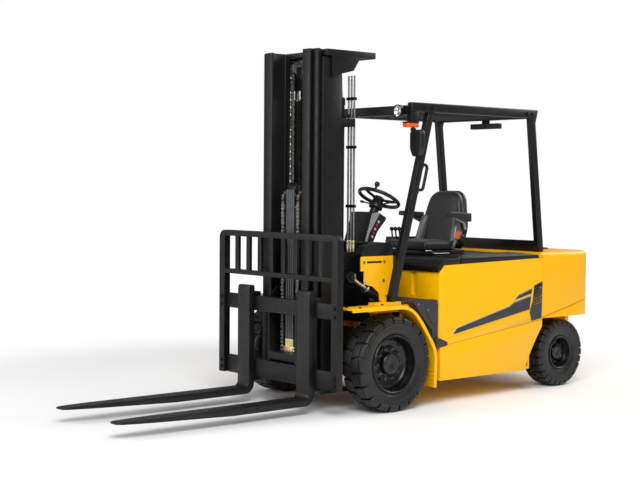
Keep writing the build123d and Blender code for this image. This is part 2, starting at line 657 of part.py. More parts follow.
def counterweight_outline(inset):
    """The counterweight seen from above, its rear corners rounded."""
    half = BODY_HALF_WIDTH - inset
    rear = COUNTERWEIGHT_REAR_X + inset
    radius = COUNTERWEIGHT_CORNER - inset
    front = COUNTERWEIGHT_FRONT_X
    edge = Polyline((rear + radius, half), (front, half), (front, -half), (rear + radius, -half))
    low = RadiusArc((rear + radius, -half), (rear, -half + radius), radius)
    tail = Line((rear, -half + radius), (rear, half - radius))
    high = RadiusArc((rear, half - radius), (rear + radius, half), radius)
    return make_face(Curve() + [edge, low, tail, high])


def counterweight():
    """The cast rear weight: rounded block, parting groove, low tail and the pocket for a tow pin."""
    height = COUNTERWEIGHT_TOP_Z - COUNTERWEIGHT_BOTTOM_Z
    block_up = extrude(counterweight_outline(0), amount=height, dir=(0, 0, 1))
    behind = COUNTERWEIGHT_FRONT_X - 1
    sides = block_up.edges().group_by(Axis.Z)[-1].filter_by(lambda edge: edge.center().X < behind)
    weight = Pos(0, 0, COUNTERWEIGHT_BOTTOM_Z) * fillet(sides, COUNTERWEIGHT_EDGE)
    skin = extrude(counterweight_outline(-1), amount=height, dir=(0, 0, 1))
    skin -= extrude(counterweight_outline(GROOVE_DEPTH), amount=height, dir=(0, 0, 1))
    slope = math.degrees(math.atan2(GROOVE_REAR_Z - SEAM_REAR_Z,
                                    COUNTERWEIGHT_FRONT_X - COUNTERWEIGHT_REAR_X))
    groove = Pos(COUNTERWEIGHT_FRONT_X, 0, SEAM_REAR_Z + GROOVE_WIDTH) * (
        Rot(0, slope, 0) * Box(3 * COUNTERWEIGHT_CORNER * 2, 4 * BODY_HALF_WIDTH, GROOVE_WIDTH))
    weight -= (Pos(0, 0, COUNTERWEIGHT_BOTTOM_Z) * skin) & groove
    weight += block((COUNTERWEIGHT_FRONT_X, HOOD_REAR_X + HINGE_RADIUS),
                    (-HINGE_HALF_LENGTH, HINGE_HALF_LENGTH),
                    (PANEL_TOP_REAR_Z - 3 * HINGE_RADIUS, PANEL_TOP_REAR_Z - HINGE_RADIUS - REST_GAP))
    tow_front = COUNTERWEIGHT_REAR_X + TOW_POCKET_DEPTH + 45
    weight += block((COUNTERWEIGHT_REAR_X, tow_front), (-TOW_BLOCK_HALF_WIDTH, TOW_BLOCK_HALF_WIDTH),
                    (TOW_BLOCK_BOTTOM_Z, COUNTERWEIGHT_BOTTOM_Z + 40))
    weight += block((COUNTERWEIGHT_REAR_X + 6, COUNTERWEIGHT_REAR_X + 52), (-350, 350),
                    (TOW_BLOCK_BOTTOM_Z + 70, COUNTERWEIGHT_BOTTOM_Z + 40))
    pocket = ((COUNTERWEIGHT_REAR_X - 10, COUNTERWEIGHT_REAR_X + TOW_POCKET_DEPTH),
              (-TOW_POCKET_HALF_WIDTH, TOW_POCKET_HALF_WIDTH))
    weight -= block(*pocket, (TOW_SHELF_TOP_Z, TOW_SHELF_TOP_Z + TOW_POCKET_HEIGHT))
    weight -= block(*pocket, (TOW_BLOCK_BOTTOM_Z + TOW_SHELF, TOW_SHELF_TOP_Z - TOW_SHELF))
    tow_x = COUNTERWEIGHT_REAR_X + TOW_POCKET_DEPTH / 2
    weight -= rod_z(tow_x, 0, TOW_BLOCK_BOTTOM_Z - 1, TOW_SHELF_TOP_Z + 1, TOW_BORE_RADIUS)
    return weight


def battery():
    """The traction battery as one plain block in its tub."""
    return block((TUB_REAR_X + BATTERY_GAP, BODY_FRONT_X - WALL - BATTERY_GAP),
                 (-INNER_WALL_Y + BATTERY_GAP, INNER_WALL_Y - BATTERY_GAP), (SILL_Z + BELLY_PLATE,
                                                                             BATTERY_TOP_Z))


def floor_and_steps():
    """The floor mat with the moulded step panels at its sides and two pedals."""
    mat = block((BODY_FRONT_X, FLOOR_FRONT_X - BULKHEAD), (-SIDE_RAIL_INNER_Y, SIDE_RAIL_INNER_Y),
                (FLOOR_Z - FLOOR_PLATE, FLOOR_Z))
    tunnel = block((TILT_FRAME_X + 10, 0), (TILT_Y - TILT_BARREL_RADIUS - 10, SIDE_RAIL_INNER_Y),
                   (FLOOR_Z - 2 * FLOOR_PLATE, FLOOR_Z + FLOOR_PLATE))
    mat -= both_sides(tunnel)
    side = block((BODY_FRONT_X, STEP_FRONT_X), (SIDE_RAIL_INNER_Y, FLOOR_HALF_WIDTH),
                 (FLOOR_Z - FLOOR_PLATE, FLOOR_Z))
    panel = side_plate(STEP_OUTLINE, FLOOR_HALF_WIDTH, STEP_OUTER_Y)
    pedal = side_plate(BRAKE_PEDAL, -170, -80) + side_plate(DRIVE_PEDAL, 80, 140)
    return mat + both_sides(side + panel) + pedal


def front_cowl():
    """The bulkhead between the mast and the footwell, with its two side wings."""
    bulkhead = block((FLOOR_FRONT_X - BULKHEAD, FLOOR_FRONT_X),
                     (-COWL_HALF_WIDTH + COWL_PLATE, COWL_HALF_WIDTH - COWL_PLATE),
                     (BULKHEAD_BOTTOM_Z, COWL_TOP_Z))
    slot = block((FLOOR_FRONT_X - 2 * BULKHEAD, FLOOR_FRONT_X + BULKHEAD),
                 (TILT_Y - 60, COWL_HALF_WIDTH - COWL_PLATE),
                 (BULKHEAD_BOTTOM_Z - 1, TILT_MAST_Z))
    bulkhead -= both_sides(slot)
    wing = side_plate(COWL_WING, COWL_HALF_WIDTH - COWL_PLATE, COWL_HALF_WIDTH, COWL_WING_CORNERS)
    foot = block((COWL_WING[0][0], COWL_FOOT_X), (COWL_HALF_WIDTH - COWL_PLATE, COWL_FOOT_OUTER_Y),
                 (FLOOR_Z, FLOOR_Z + COWL_PLATE))
    return bulkhead + both_sides(wing + foot)


def dashboard():
    """The dark cowl top with its shoulders over the wings, the instrument pod and the steering column."""
    inner = COWL_HALF_WIDTH - COWL_PLATE
    top = side_plate(DASH_OUTLINE, -inner, inner)
    shoulder = side_plate(CAP_OUTLINE, COWL_CAP_INNER_Y, COWL_HALF_WIDTH)
    pod = side_plate(POD_OUTLINE, -POD_HALF_WIDTH, POD_HALF_WIDTH, POD_CORNER)
    leg = block((POD_OUTLINE[-1][0], FLOOR_FRONT_X - BULKHEAD),
                (-0.45 * POD_HALF_WIDTH, 0.45 * POD_HALF_WIDTH),
                (FLOOR_Z, COWL_TOP_Z))
    column = steering_frame() * (Pos(0, 0, -COLUMN_LENGTH / 2 - COLUMN_DROP) * Cylinder(COLUMN_RADIUS,
                                                                                        COLUMN_LENGTH))
    return top + both_sides(shoulder) + pod + leg + column


def front_deck():
    """The fixed black deck ahead of the hood, its lip over the front wall."""
    deck = side_plate(
        [(BODY_FRONT_X + 16, DECK_LIP_Z), (BODY_FRONT_X + 16, DECK_LIP_Z + 38),
         (BODY_FRONT_X - 36, HOOD_TOP_Z - 8),
         (HOOD_FRONT_X + DECK_GAP, HOOD_TOP_Z), (HOOD_FRONT_X + DECK_GAP,
                                                 panel_top(HOOD_FRONT_X) + SEAM_GAP),
         (BODY_FRONT_X - 50, PANEL_TOP_FRONT_Z + SEAM_GAP), (BODY_FRONT_X, DECK_LIP_Z)],
        -HOOD_HALF_WIDTH, HOOD_HALF_WIDTH)
    foot = block((BODY_FRONT_X - WALL, BODY_FRONT_X), (-INNER_WALL_Y + 60, INNER_WALL_Y - 60),
                 (DECK_LIP_Z - SEAM_GAP, PANEL_TOP_FRONT_Z + 10))
    return deck + foot


def fender_band(depth):
    """The fender's strip seen from the side: flat over the tyre, then bent down behind it."""
    bend = FENDER_BEND

    def inwards(point):
        x, z = point[0], point[1] - FRONT_TYRE_RADIUS
        share = 1 - depth / math.hypot(x, z)
        return (x * share, FRONT_TYRE_RADIUS + z * share)

    inner = [inwards(point) for point in bend]
    foot = (FENDER_REAR_X + 6, FENDER_BOTTOM_Z)
    edges = [
        Line((FENDER_FRONT_X, FENDER_TOP_Z), bend[0]),
        Spline(*bend, tangents=[(-1, 0), (0, -1)]),
        Polyline(bend[-1], foot, (foot[0] + depth, foot[1]), inner[-1]),
        Spline(*reversed(inner), tangents=[(0, 1), (1, 0)]),
        Polyline(inner[0], (FENDER_FRONT_X, inner[0][1]), (FENDER_FRONT_X, FENDER_TOP_Z))]
    return make_face(Curve() + edges)


def fender(side):
    """A front fender: a bent sheet over the tyre with a lip along its outer edge."""
    sheet = extrude(Plane.XZ * fender_band(FENDER_SHEET), amount=FENDER_OUTER_Y - FLOOR_HALF_WIDTH,
                    dir=(0, 1, 0))
    lip = extrude(Plane.XZ * fender_band(FENDER_LIP), amount=FENDER_SHEET, dir=(0, 1, 0))
    whole = Pos(0, FLOOR_HALF_WIDTH, 0) * sheet + Pos(0, FENDER_OUTER_Y - FENDER_SHEET, 0) * lip
    return whole if side > 0 else mirror(whole, about=Plane.XZ)


def guard_side():
    """One side of the overhead guard: front pillar, roof rail with its visor and rear pillar."""
    half = GUARD_TUBE_DEPTH / 2
    under = GUARD_TOP_Z - GUARD_RAIL

    def front_x(z):
        return PILLAR_FOOT_X - PILLAR_LEAN * (z - FLOOR_Z)

    def rear_x(z):
        return REAR_PILLAR_FOOT_X + REAR_PILLAR_LEAN * (z - COUNTERWEIGHT_TOP_Z)

    points = [
        (front_x(FLOOR_Z) + half, FLOOR_Z), (front_x(under) + half, under), (GUARD_FRONT_X, under),
        (GUARD_FRONT_X, GUARD_TOP_Z), (GUARD_REAR_X, GUARD_TOP_Z), (rear_x(under) - half, under - 40),
        (rear_x(COUNTERWEIGHT_TOP_Z) - half, COUNTERWEIGHT_TOP_Z), (rear_x(COUNTERWEIGHT_TOP_Z) + half,
                                                                    COUNTERWEIGHT_TOP_Z),
        (rear_x(under) + half, under), (front_x(under) - half, under), (front_x(FLOOR_Z) - half, FLOOR_Z)]
    return side_plate(points, GUARD_Y - GUARD_TUBE_WIDTH / 2, GUARD_Y + GUARD_TUBE_WIDTH / 2)


def guard_roof():
    """The guard's cross beams and slanting roof bars between its two sides."""
    inner = GUARD_Y - GUARD_TUBE_WIDTH / 2
    under = GUARD_TOP_Z - GUARD_RAIL
    roof = block((GUARD_FRONT_X - FRONT_BEAM, GUARD_FRONT_X), (-inner, inner),
                 (under - GUARD_BEAM_DROP, GUARD_TOP_Z - GUARD_BEAM_DROP))
    roof += block((GUARD_REAR_X, GUARD_REAR_X + REAR_BEAM), (-inner, inner), (under, GUARD_TOP_Z))
    first = GUARD_FRONT_X - ROOF_FIRST_BAR
    pitch = (first - GUARD_REAR_X - ROOF_LAST_BAR) / (ROOF_BARS - 1)
    for index in range(ROOF_BARS):
        bar = Rot(0, ROOF_BAR_TURN, 0) * Box(ROOF_BAR_THICKNESS, 2 * inner, ROOF_BAR_HEIGHT)
        roof += Pos(first - index * pitch, 0, GUARD_TOP_Z - GUARD_RAIL / 2) * bar
    return roof


def gussets():
    """The plates under the roof's front corners that carry the lamps."""
    under = GUARD_TOP_Z - GUARD_RAIL
    half = GUARD_TUBE_WIDTH / 2
    plate = block((GUARD_FRONT_X - GUSSET_DEPTH, GUARD_FRONT_X), (GUARD_Y - half, GUARD_Y + half),
                  (under - GUSSET_HEIGHT, under))
    return both_sides(plate)


def rear_panel():
    """The low black panel between the rear pillars."""
    inner = GUARD_Y - GUARD_TUBE_WIDTH / 2
    depth = (REAR_PILLAR_FOOT_X - COWL_PLATE, REAR_PILLAR_FOOT_X + COWL_PLATE)
    return block(depth, (-inner, inner), (COUNTERWEIGHT_TOP_Z, REAR_PANEL_TOP_Z))


def headlamps():
    """Two round work lamps on the roof's front beam: a tapered bowl, a bezel and a domed cover."""
    z = GUARD_TOP_Z - GUARD_RAIL - GUARD_BEAM_DROP + LAMP_RAISE
    y = GUARD_Y - GUARD_TUBE_WIDTH / 2 - LAMP_RADIUS - LAMP_BEZEL
    glass = LAMP_RADIUS - LAMP_BEZEL
    outline = make_face(Polyline(
        (0, 0), (0, 0.6 * LAMP_RADIUS), (0.4 * LAMP_DEPTH, LAMP_RADIUS), (LAMP_DEPTH, LAMP_RADIUS),
        (LAMP_DEPTH, glass), (LAMP_DEPTH - LAMP_BEZEL, glass), (LAMP_DEPTH - 2, 0.6 * glass),
        (LAMP_DEPTH, 0), close=True))
    return both_sides(Pos(GUARD_FRONT_X, y, z) * revolve(outline, Axis.X))


def signal_top():
    """The height of the plates' lower edge, where the turn signals hang."""
    return GUARD_TOP_Z - GUARD_RAIL - GUSSET_HEIGHT


def turn_signals():
    """Amber lenses under the roof's front corners."""
    top = signal_top()
    lens = block((GUARD_FRONT_X - GUSSET_DEPTH + 2, GUARD_FRONT_X + SIGNAL_REACH),
                 (GUARD_Y - GUARD_TUBE_WIDTH / 2 + 2, GUARD_Y + SIGNAL_OUTER), (top - SIGNAL_HEIGHT, top))
    return both_sides(lens)


def mirrors():
    """Two rear-view mirrors on arms below the lenses."""
    top = signal_top() - SIGNAL_HEIGHT
    x, y = GUARD_FRONT_X - MIRROR_DEPTH / 2 + 5, GUARD_Y + MIRROR_ARM_RADIUS + 11
    arm = rod((x, y, top), (x, y, top - 2 * MIRROR_ARM), MIRROR_ARM_RADIUS)
    near, high = GUARD_Y + 2, top - MIRROR_ARM
    far, low = near + MIRROR_WIDTH, high - MIRROR_HEIGHT
    shell = front_plate([(near, low), (far, low), (far, high), (near, high)],
                        GUARD_FRONT_X + 5 - MIRROR_DEPTH, GUARD_FRONT_X + 5, MIRROR_CORNER)
    return both_sides(arm + shell)


def rear_lamp():
    """A lamp bar under the roof's rear beam."""
    top = GUARD_TOP_Z - GUARD_RAIL - REAR_LAMP_DROP
    lamp = block((GUARD_REAR_X + 4, GUARD_REAR_X + 4 + MIRROR_DEPTH),
                 (-REAR_LAMP_HALF_WIDTH, REAR_LAMP_HALF_WIDTH),
                 (top - REAR_LAMP_HEIGHT, top))
    stem = block((GUARD_REAR_X + 20, GUARD_REAR_X + 40), (-REAR_LAMP_HALF_WIDTH / 4,
                                                          REAR_LAMP_HALF_WIDTH / 4),
                 (top - 4, top + REAR_LAMP_DROP))
    return lamp + stem


def grab_handles():
    """Handles behind the front pillars."""
    def back_x(z):
        return PILLAR_FOOT_X - PILLAR_LEAN * (z - FLOOR_Z) - GUARD_TUBE_DEPTH / 2

    low, high = back_x(HANDLE_LOW_Z), back_x(HANDLE_HIGH_Z)
    path = FilletPolyline((low, 0, HANDLE_LOW_Z), (low - HANDLE_REACH, 0, HANDLE_LOW_Z),
                          (high - HANDLE_REACH, 0, HANDLE_HIGH_Z),
                          (high, 0, HANDLE_HIGH_Z), radius=HANDLE_BEND)
    tube = sweep(Plane(path @ 0, z_dir=path % 0) * Circle(HANDLE_RADIUS), path)
    return both_sides(Pos(0, GUARD_Y, 0) * tube - guard_side())


def rail(stage):
    """A left mast rail seen from above: stage 0 is the outer channel, 1 and 2 the nested beams."""
    rear = MAST_REAR_X + stage * STAGE_STEP_X
    front = rear + RAIL_DEPTH
    web_out = MAST_HALF_WIDTH - stage * STAGE_STEP_Y
    web_in = web_out - RAIL_WEB
    tip_in = web_in - FLANGE_INWARD
    tip_out = web_out + (FLANGE_OUTWARD if stage else 0)
    bottom = RAIL_BOTTOM_Z if stage else OUTER_BOTTOM_Z
    top = RAIL_TOP_Z if stage else OUTER_TOP_Z
    web = block((rear, front), (web_in, web_out), (bottom, top))
    flange = block((rear, rear + RAIL_FLANGE), (tip_in, tip_out), (bottom, top))
    nose = block((front - RAIL_FLANGE, front), (tip_in, tip_out), (bottom, top))
    return web + flange + nose


def outer_mast():
    """The outer rails with their cross plates, axle saddles and tilt pins."""
    ear_inner = MAST_HALF_WIDTH - RAIL_WEB
    mast = rail(0)
    mast += block((OUTER_CROSS_X, MAST_REAR_X), (0, MAST_HALF_WIDTH),
                  (OUTER_BOTTOM_Z, OUTER_BOTTOM_Z + CROSS_PLATE))
    top_plate = OUTER_TOP_Z - OUTER_TOP_PLATE_DROP
    for low, high in (*OUTER_PLATES, (top_plate, top_plate + OUTER_TOP_PLATE_HEIGHT)):
        mast += block((OUTER_CROSS_X, OUTER_CROSS_X + CROSS_PLATE), (0, MAST_HALF_WIDTH), (low, high))
        mast += block((OUTER_CROSS_X, MAST_REAR_X), (ear_inner, MAST_HALF_WIDTH), (low, high))
    anchor_x = MAIN_CHAIN_X - MAIN_CHAIN_PULLEY_RADIUS
    mast += block((OUTER_CROSS_X, anchor_x), (MAIN_CHAIN_Y - CHAIN_WIDTH / 2,
                                              MAIN_CHAIN_Y + CHAIN_WIDTH / 2),
                  (MAIN_CHAIN_ANCHOR_Z - 50, MAIN_CHAIN_ANCHOR_Z))
    saddle_y = (MAST_HALF_WIDTH - 2 * RAIL_WEB - 14, MAST_HALF_WIDTH)
    ring = rod_y(0, FRONT_TYRE_RADIUS, *saddle_y, AXLE_TUBE_RADIUS + 32)
    ring += block((0, MAST_REAR_X), saddle_y, (FRONT_TYRE_RADIUS - 80, FRONT_TYRE_RADIUS + 80))
    ring -= rod_y(0, FRONT_TYRE_RADIUS, 0, FRONT_TYRE_OUTER_Y, AXLE_TUBE_RADIUS + RUNNING_GAP)
    mast += ring
    ear = side_plate(
        [(MAST_REAR_X + 60, TILT_MAST_Z - 90), (MAST_REAR_X + 60, TILT_MAST_Z + 90),
         (TILT_MAST_X, TILT_MAST_Z + 45),
         (TILT_MAST_X - 38, TILT_MAST_Z), (TILT_MAST_X, TILT_MAST_Z - 45)],
        ear_inner, MAST_HALF_WIDTH)
    mast += ear
    mast += rod_y(TILT_MAST_X, TILT_MAST_Z, ear_inner, TILT_Y + TILT_EYE_WIDTH / 2 + 10, TILT_PIN_RADIUS)
    return both_sides(mast)


def lift_barrels():
    """The two main lift barrels behind the outer rails, bored for their rods."""
    low = OUTER_BOTTOM_Z + CROSS_PLATE
    barrel = rod_z(LIFT_CYLINDER_X, LIFT_CYLINDER_Y, low, LIFT_BARREL_TOP_Z, LIFT_BARREL_RADIUS)
    barrel += rod_z(LIFT_CYLINDER_X, LIFT_CYLINDER_Y, LIFT_BARREL_TOP_Z - 50, LIFT_BARREL_TOP_Z,
                    LIFT_BARREL_RADIUS + 5)
    bore = rod_z(LIFT_CYLINDER_X, LIFT_CYLINDER_Y, low + 30, LIFT_BARREL_TOP_Z - 40,
                 LIFT_BARREL_RADIUS - LIFT_BARREL_WALL)
    bore += rod_z(LIFT_CYLINDER_X, LIFT_CYLINDER_Y, low + 30, LIFT_BARREL_TOP_Z + 1,
                  LIFT_ROD_RADIUS + ROD_GAP)
    clamp_z = RAIL_TOP_Z - BARREL_CLAMP_DROP
    clamp = block((OUTER_CROSS_X + CROSS_PLATE, LIFT_CYLINDER_X),
                  (LIFT_CYLINDER_Y - 20, LIFT_CYLINDER_Y + 20),
                  (clamp_z, clamp_z + BARREL_CLAMP_HEIGHT))
    return both_sides(barrel + clamp - bore)


def mast_pipes():
    """Three hydraulic pipes behind each outer rail, from their couplings up to the rail's top."""
    pipes = Part()
    for index in range(3):
        y = MAST_HALF_WIDTH - RAIL_WEB - PIPE_INSET - index * PIPE_PITCH
        x = OUTER_CROSS_X - PIPE_FITTING_RADIUS
        fitting_top = PIPE_FITTING_Z + PIPE_FITTING_HEIGHT
        pipes += rod_z(x, y, fitting_top, RAIL_TOP_Z - PIPE_TOP_DROP, PIPE_RADIUS)
        pipes += rod_z(x, y, PIPE_FITTING_Z, fitting_top, PIPE_FITTING_RADIUS)
    return pipes


def middle_mast():
    """The middle rails with their cross plates and the head plate that the lift rods push."""
    mast = rail(1)
    rear = MAST_REAR_X + STAGE_STEP_X
    reach = MAST_HALF_WIDTH - STAGE_STEP_Y - 6
    top_plate = RAIL_TOP_Z - MIDDLE_TOP_PLATE_DROP
    for low, high in ((200, 310), (top_plate, top_plate + MIDDLE_TOP_PLATE_HEIGHT)):
        mast += block((rear - CROSS_PLATE, rear), (0, reach), (low, high))
    head_low = RAIL_TOP_Z - 3 - TOP_PLATE
    head = (head_low, RAIL_TOP_Z - 3)
    mast += block((TOP_PLATE_REAR_X, rear), (0, TOP_PLATE_HALF_WIDTH), head)
    mast += block((rear, TOP_PLATE_FRONT_X), (MAST_HALF_WIDTH - STAGE_STEP_Y - RAIL_WEB,
                                              TOP_PLATE_HALF_WIDTH), head)
    mast += side_plate(
        [(330, head_low), (321, head_low - 150), (117, head_low - 100), (68, head_low - 30),
         (60, head_low)],
        MAST_HALF_WIDTH + 8, TOP_PLATE_HALF_WIDTH)
    for near in (MAIN_CHAIN_Y - CHAIN_WIDTH / 2 - 7, MAIN_CHAIN_Y + CHAIN_WIDTH / 2 + 2):
        mast += block((rear - CROSS_PLATE, MAIN_CHAIN_X + 20), (near, near + 5),
                      (top_plate + MIDDLE_TOP_PLATE_HEIGHT - 10, MAIN_CHAIN_PULLEY_Z + 20))
    return both_sides(mast)


def lift_rods():
    """The chromed main lift rods under the head plate."""
    rod_part = rod_z(LIFT_CYLINDER_X, LIFT_CYLINDER_Y, OUTER_BOTTOM_Z + 80, RAIL_TOP_Z - 3 - TOP_PLATE,
                     LIFT_ROD_RADIUS)
    return both_sides(rod_part)


def chain_loop(x, z, y, radius, front_low, rear_low, width, thickness):
    """A flat chain over a pulley: a half ring and the two runs that hang from it."""
    outer = radius + thickness
    ring = rod_y(x, z, y - width / 2, y + width / 2, outer) - rod_y(x, z, y - width, y + width, radius)
    ring -= block((x - 2 * outer, x + 2 * outer), (y - width, y + width), (z - 2 * outer, z))
    links = math.ceil((z - front_low) / CHAIN_PITCH) - 1
    levels = [z - CHAIN_PITCH * index / 2 for index in range(2 * links + 1)]
    waists = [CHAIN_WAIST * (index % 2) for index in range(2 * links + 1)]
    inner_edge = [(x + radius + waist, level) for level, waist in zip(levels, waists)]
    outer_edge = [(x + outer - waist, level) for level, waist in zip(levels, waists)]
    front = side_plate([*inner_edge, (x + radius, front_low), (x + outer, front_low),
                        *reversed(outer_edge)],
                       y - width / 2, y + width / 2)
    rear = block((x - outer, x - radius), (y - width / 2, y + width / 2), (rear_low, z))
    return ring + front + rear


def main_chains():
    """The main lift chains over their pulleys at the middle mast's head."""
    pulley = rod_y(MAIN_CHAIN_X, MAIN_CHAIN_PULLEY_Z, MAIN_CHAIN_Y - CHAIN_WIDTH / 2,
                   MAIN_CHAIN_Y + CHAIN_WIDTH / 2,
                   MAIN_CHAIN_PULLEY_RADIUS)
    pin = rod_y(MAIN_CHAIN_X, MAIN_CHAIN_PULLEY_Z, MAIN_CHAIN_Y - CHAIN_WIDTH / 2 - 2,
                MAIN_CHAIN_Y + CHAIN_WIDTH / 2 + 2, 12)
    loop = chain_loop(MAIN_CHAIN_X, MAIN_CHAIN_PULLEY_Z, MAIN_CHAIN_Y, MAIN_CHAIN_PULLEY_RADIUS,
                      CHAIN_FOOT_Z, MAIN_CHAIN_ANCHOR_Z,
                      CHAIN_WIDTH, CHAIN_THICKNESS)
    return both_sides(pulley + pin + loop)


def inner_mast():
    """The inner rails with their cross plates and the foot of the free-lift barrel."""
    mast = rail(2)
    rear = MAST_REAR_X + 2 * STAGE_STEP_X
    reach = MAST_HALF_WIDTH - 2 * STAGE_STEP_Y - 4
    for low, high in ((RAIL_BOTTOM_Z + 10, RAIL_BOTTOM_Z + 130),
                      (INNER_WAIST_Z, INNER_WAIST_Z + INNER_WAIST_HEIGHT)):
        mast += block((rear - CROSS_PLATE, rear), (0, reach), (low, high))
    mast += block((rear - CROSS_PLATE, rear + RAIL_FLANGE), (0, reach), (RAIL_TOP_Z - 36, RAIL_TOP_Z))
    mast += block((rear, FREE_LIFT_X - FREE_BARREL_RADIUS - 4), (0, MAIN_CHAIN_Y + CHAIN_WIDTH / 2),
                  (CHAIN_FOOT_Z - 50, CHAIN_FOOT_Z))
    mast += block((rear, FREE_LIFT_X + FREE_BARREL_RADIUS), (0, FREE_BARREL_RADIUS),
                  (RAIL_BOTTOM_Z + 10, RAIL_BOTTOM_Z + 34))
    return both_sides(mast)


def free_lift_barrel():
    """The free-lift barrel between the inner rails, bored for its rod."""
    low = RAIL_BOTTOM_Z + 34
    barrel = rod_z(FREE_LIFT_X, 0, low, FREE_BARREL_TOP_Z, FREE_BARREL_RADIUS)
    barrel -= rod_z(FREE_LIFT_X, 0, low + 40, FREE_BARREL_TOP_Z - 40, FREE_BARREL_RADIUS - FREE_BARREL_WALL)
    barrel -= rod_z(FREE_LIFT_X, 0, low + 40, FREE_BARREL_TOP_Z + 1, FREE_ROD_RADIUS + ROD_GAP)
    return barrel


def crosshead():
    """The free-lift rod with its crosshead, the hose pulley and the chain pulleys below it."""
    hose_half = HOSES * HOSE_PITCH / 2
    chain_in = CHAIN_Y - CHAIN_WIDTH / 2
    chain_out = CHAIN_Y + CHAIN_WIDTH / 2
    yoke_in, yoke_out = hose_half + YOKE_GAP, chain_in - YOKE_GAP
    depth = (FREE_LIFT_X - YOKE_HALF_DEPTH, FREE_LIFT_X + YOKE_HALF_DEPTH)
    part = rod_z(FREE_LIFT_X, 0, RAIL_BOTTOM_Z + FREE_ROD_FOOT, CROSSHEAD_Z, FREE_ROD_RADIUS)
    part += rod_y(FREE_LIFT_X, CROSSHEAD_Z, -yoke_out, yoke_out, PULLEY_PIN_RADIUS)
    part += rod_y(FREE_LIFT_X, CROSSHEAD_Z, -hose_half, hose_half, HOSE_PULLEY_RADIUS)
    pulley = rod_y(FREE_LIFT_X, CHAIN_PULLEY_Z, chain_in, chain_out, CHAIN_PULLEY_RADIUS)
    pulley += rod_y(FREE_LIFT_X, CHAIN_PULLEY_Z, yoke_in, chain_out, PULLEY_PIN_RADIUS)
    yoke = block(depth, (yoke_in, yoke_out), (FREE_BARREL_TOP_Z + SADDLE_RISE,
                                              CROSSHEAD_Z + YOKE_HALF_DEPTH))
    saddle = block(depth, (0, yoke_out), (FREE_BARREL_TOP_Z + SADDLE_RISE,
                                          FREE_BARREL_TOP_Z + SADDLE_RISE + SADDLE))
    return part + both_sides(pulley + yoke + saddle)


def free_lift_chains():
    """The two leaf chains from the carriage, over the crosshead, to the inner mast."""
    loop = chain_loop(FREE_LIFT_X, CHAIN_PULLEY_Z, CHAIN_Y, CHAIN_PULLEY_RADIUS, CHAIN_ANCHOR_Z,
                      CHAIN_FOOT_Z,
                      CHAIN_WIDTH, CHAIN_THICKNESS)
    return both_sides(loop)


def free_lift_hoses():
    """The flat band of hoses over the crosshead, beside the chains."""
    hoses = Part()
    radius = HOSE_PULLEY_RADIUS + HOSE_RADIUS
    for index in range(HOSES):
        y = (index - (HOSES - 1) / 2) * HOSE_PITCH
        front = Line((FREE_LIFT_X + radius, y, CHAIN_ANCHOR_Z), (FREE_LIFT_X + radius, y, CROSSHEAD_Z))
        over = ThreePointArc(front @ 1, (FREE_LIFT_X, y, CROSSHEAD_Z + radius),
                             (FREE_LIFT_X - radius, y, CROSSHEAD_Z))
        rear = Line(over @ 1, (FREE_LIFT_X - radius, y, CHAIN_FOOT_Z))
        path = Wire([front, over, rear])
        hoses += sweep(Plane(front @ 0, z_dir=(0, 0, 1)) * Circle(HOSE_RADIUS), path)
    return hoses


def carriage():
    """The fork carriage: two fork bars, roller plates with rollers and the chain anchor block."""
    front = BAR_REAR_X + BAR_THICKNESS
    plate_out = MAST_HALF_WIDTH - 2 * STAGE_STEP_Y - RAIL_WEB - FLANGE_INWARD - 8
    plate_in = plate_out - ROLLER_PLATE
    upper = (UPPER_BAR_TOP_Z - UPPER_BAR_HEIGHT, UPPER_BAR_TOP_Z)
    lower = (LOWER_BAR_BOTTOM_Z, LOWER_BAR_BOTTOM_Z + LOWER_BAR_HEIGHT)
    part = block((BAR_REAR_X, front), (0, BAR_HALF_WIDTH), upper)
    part += block((BAR_REAR_X, front), (0, BAR_HALF_WIDTH), lower)
    roller_x = MAST_REAR_X + 2 * STAGE_STEP_X + RAIL_DEPTH / 2
    part += side_plate(
        [(BAR_REAR_X, LOWER_BAR_BOTTOM_Z), (roller_x - 40, LOWER_BAR_BOTTOM_Z + 20),
         (roller_x - 40, UPPER_BAR_TOP_Z + 80),
         (roller_x + 50, UPPER_BAR_TOP_Z + 80), (BAR_REAR_X, UPPER_BAR_TOP_Z)],
        plate_in, plate_out)
    roller_end = MAST_HALF_WIDTH - 2 * STAGE_STEP_Y - RAIL_WEB - 5
    for z in (LOWER_BAR_BOTTOM_Z + 100, UPPER_BAR_TOP_Z):
        part += rod_y(roller_x, z, plate_out, roller_end, ROLLER_RADIUS)
    anchor_x = FREE_LIFT_X + CHAIN_PULLEY_RADIUS
    part += block((anchor_x - 4, BAR_REAR_X), (0, plate_in), (CHAIN_ANCHOR_Z - 60, CHAIN_ANCHOR_Z))
    return both_sides(part)


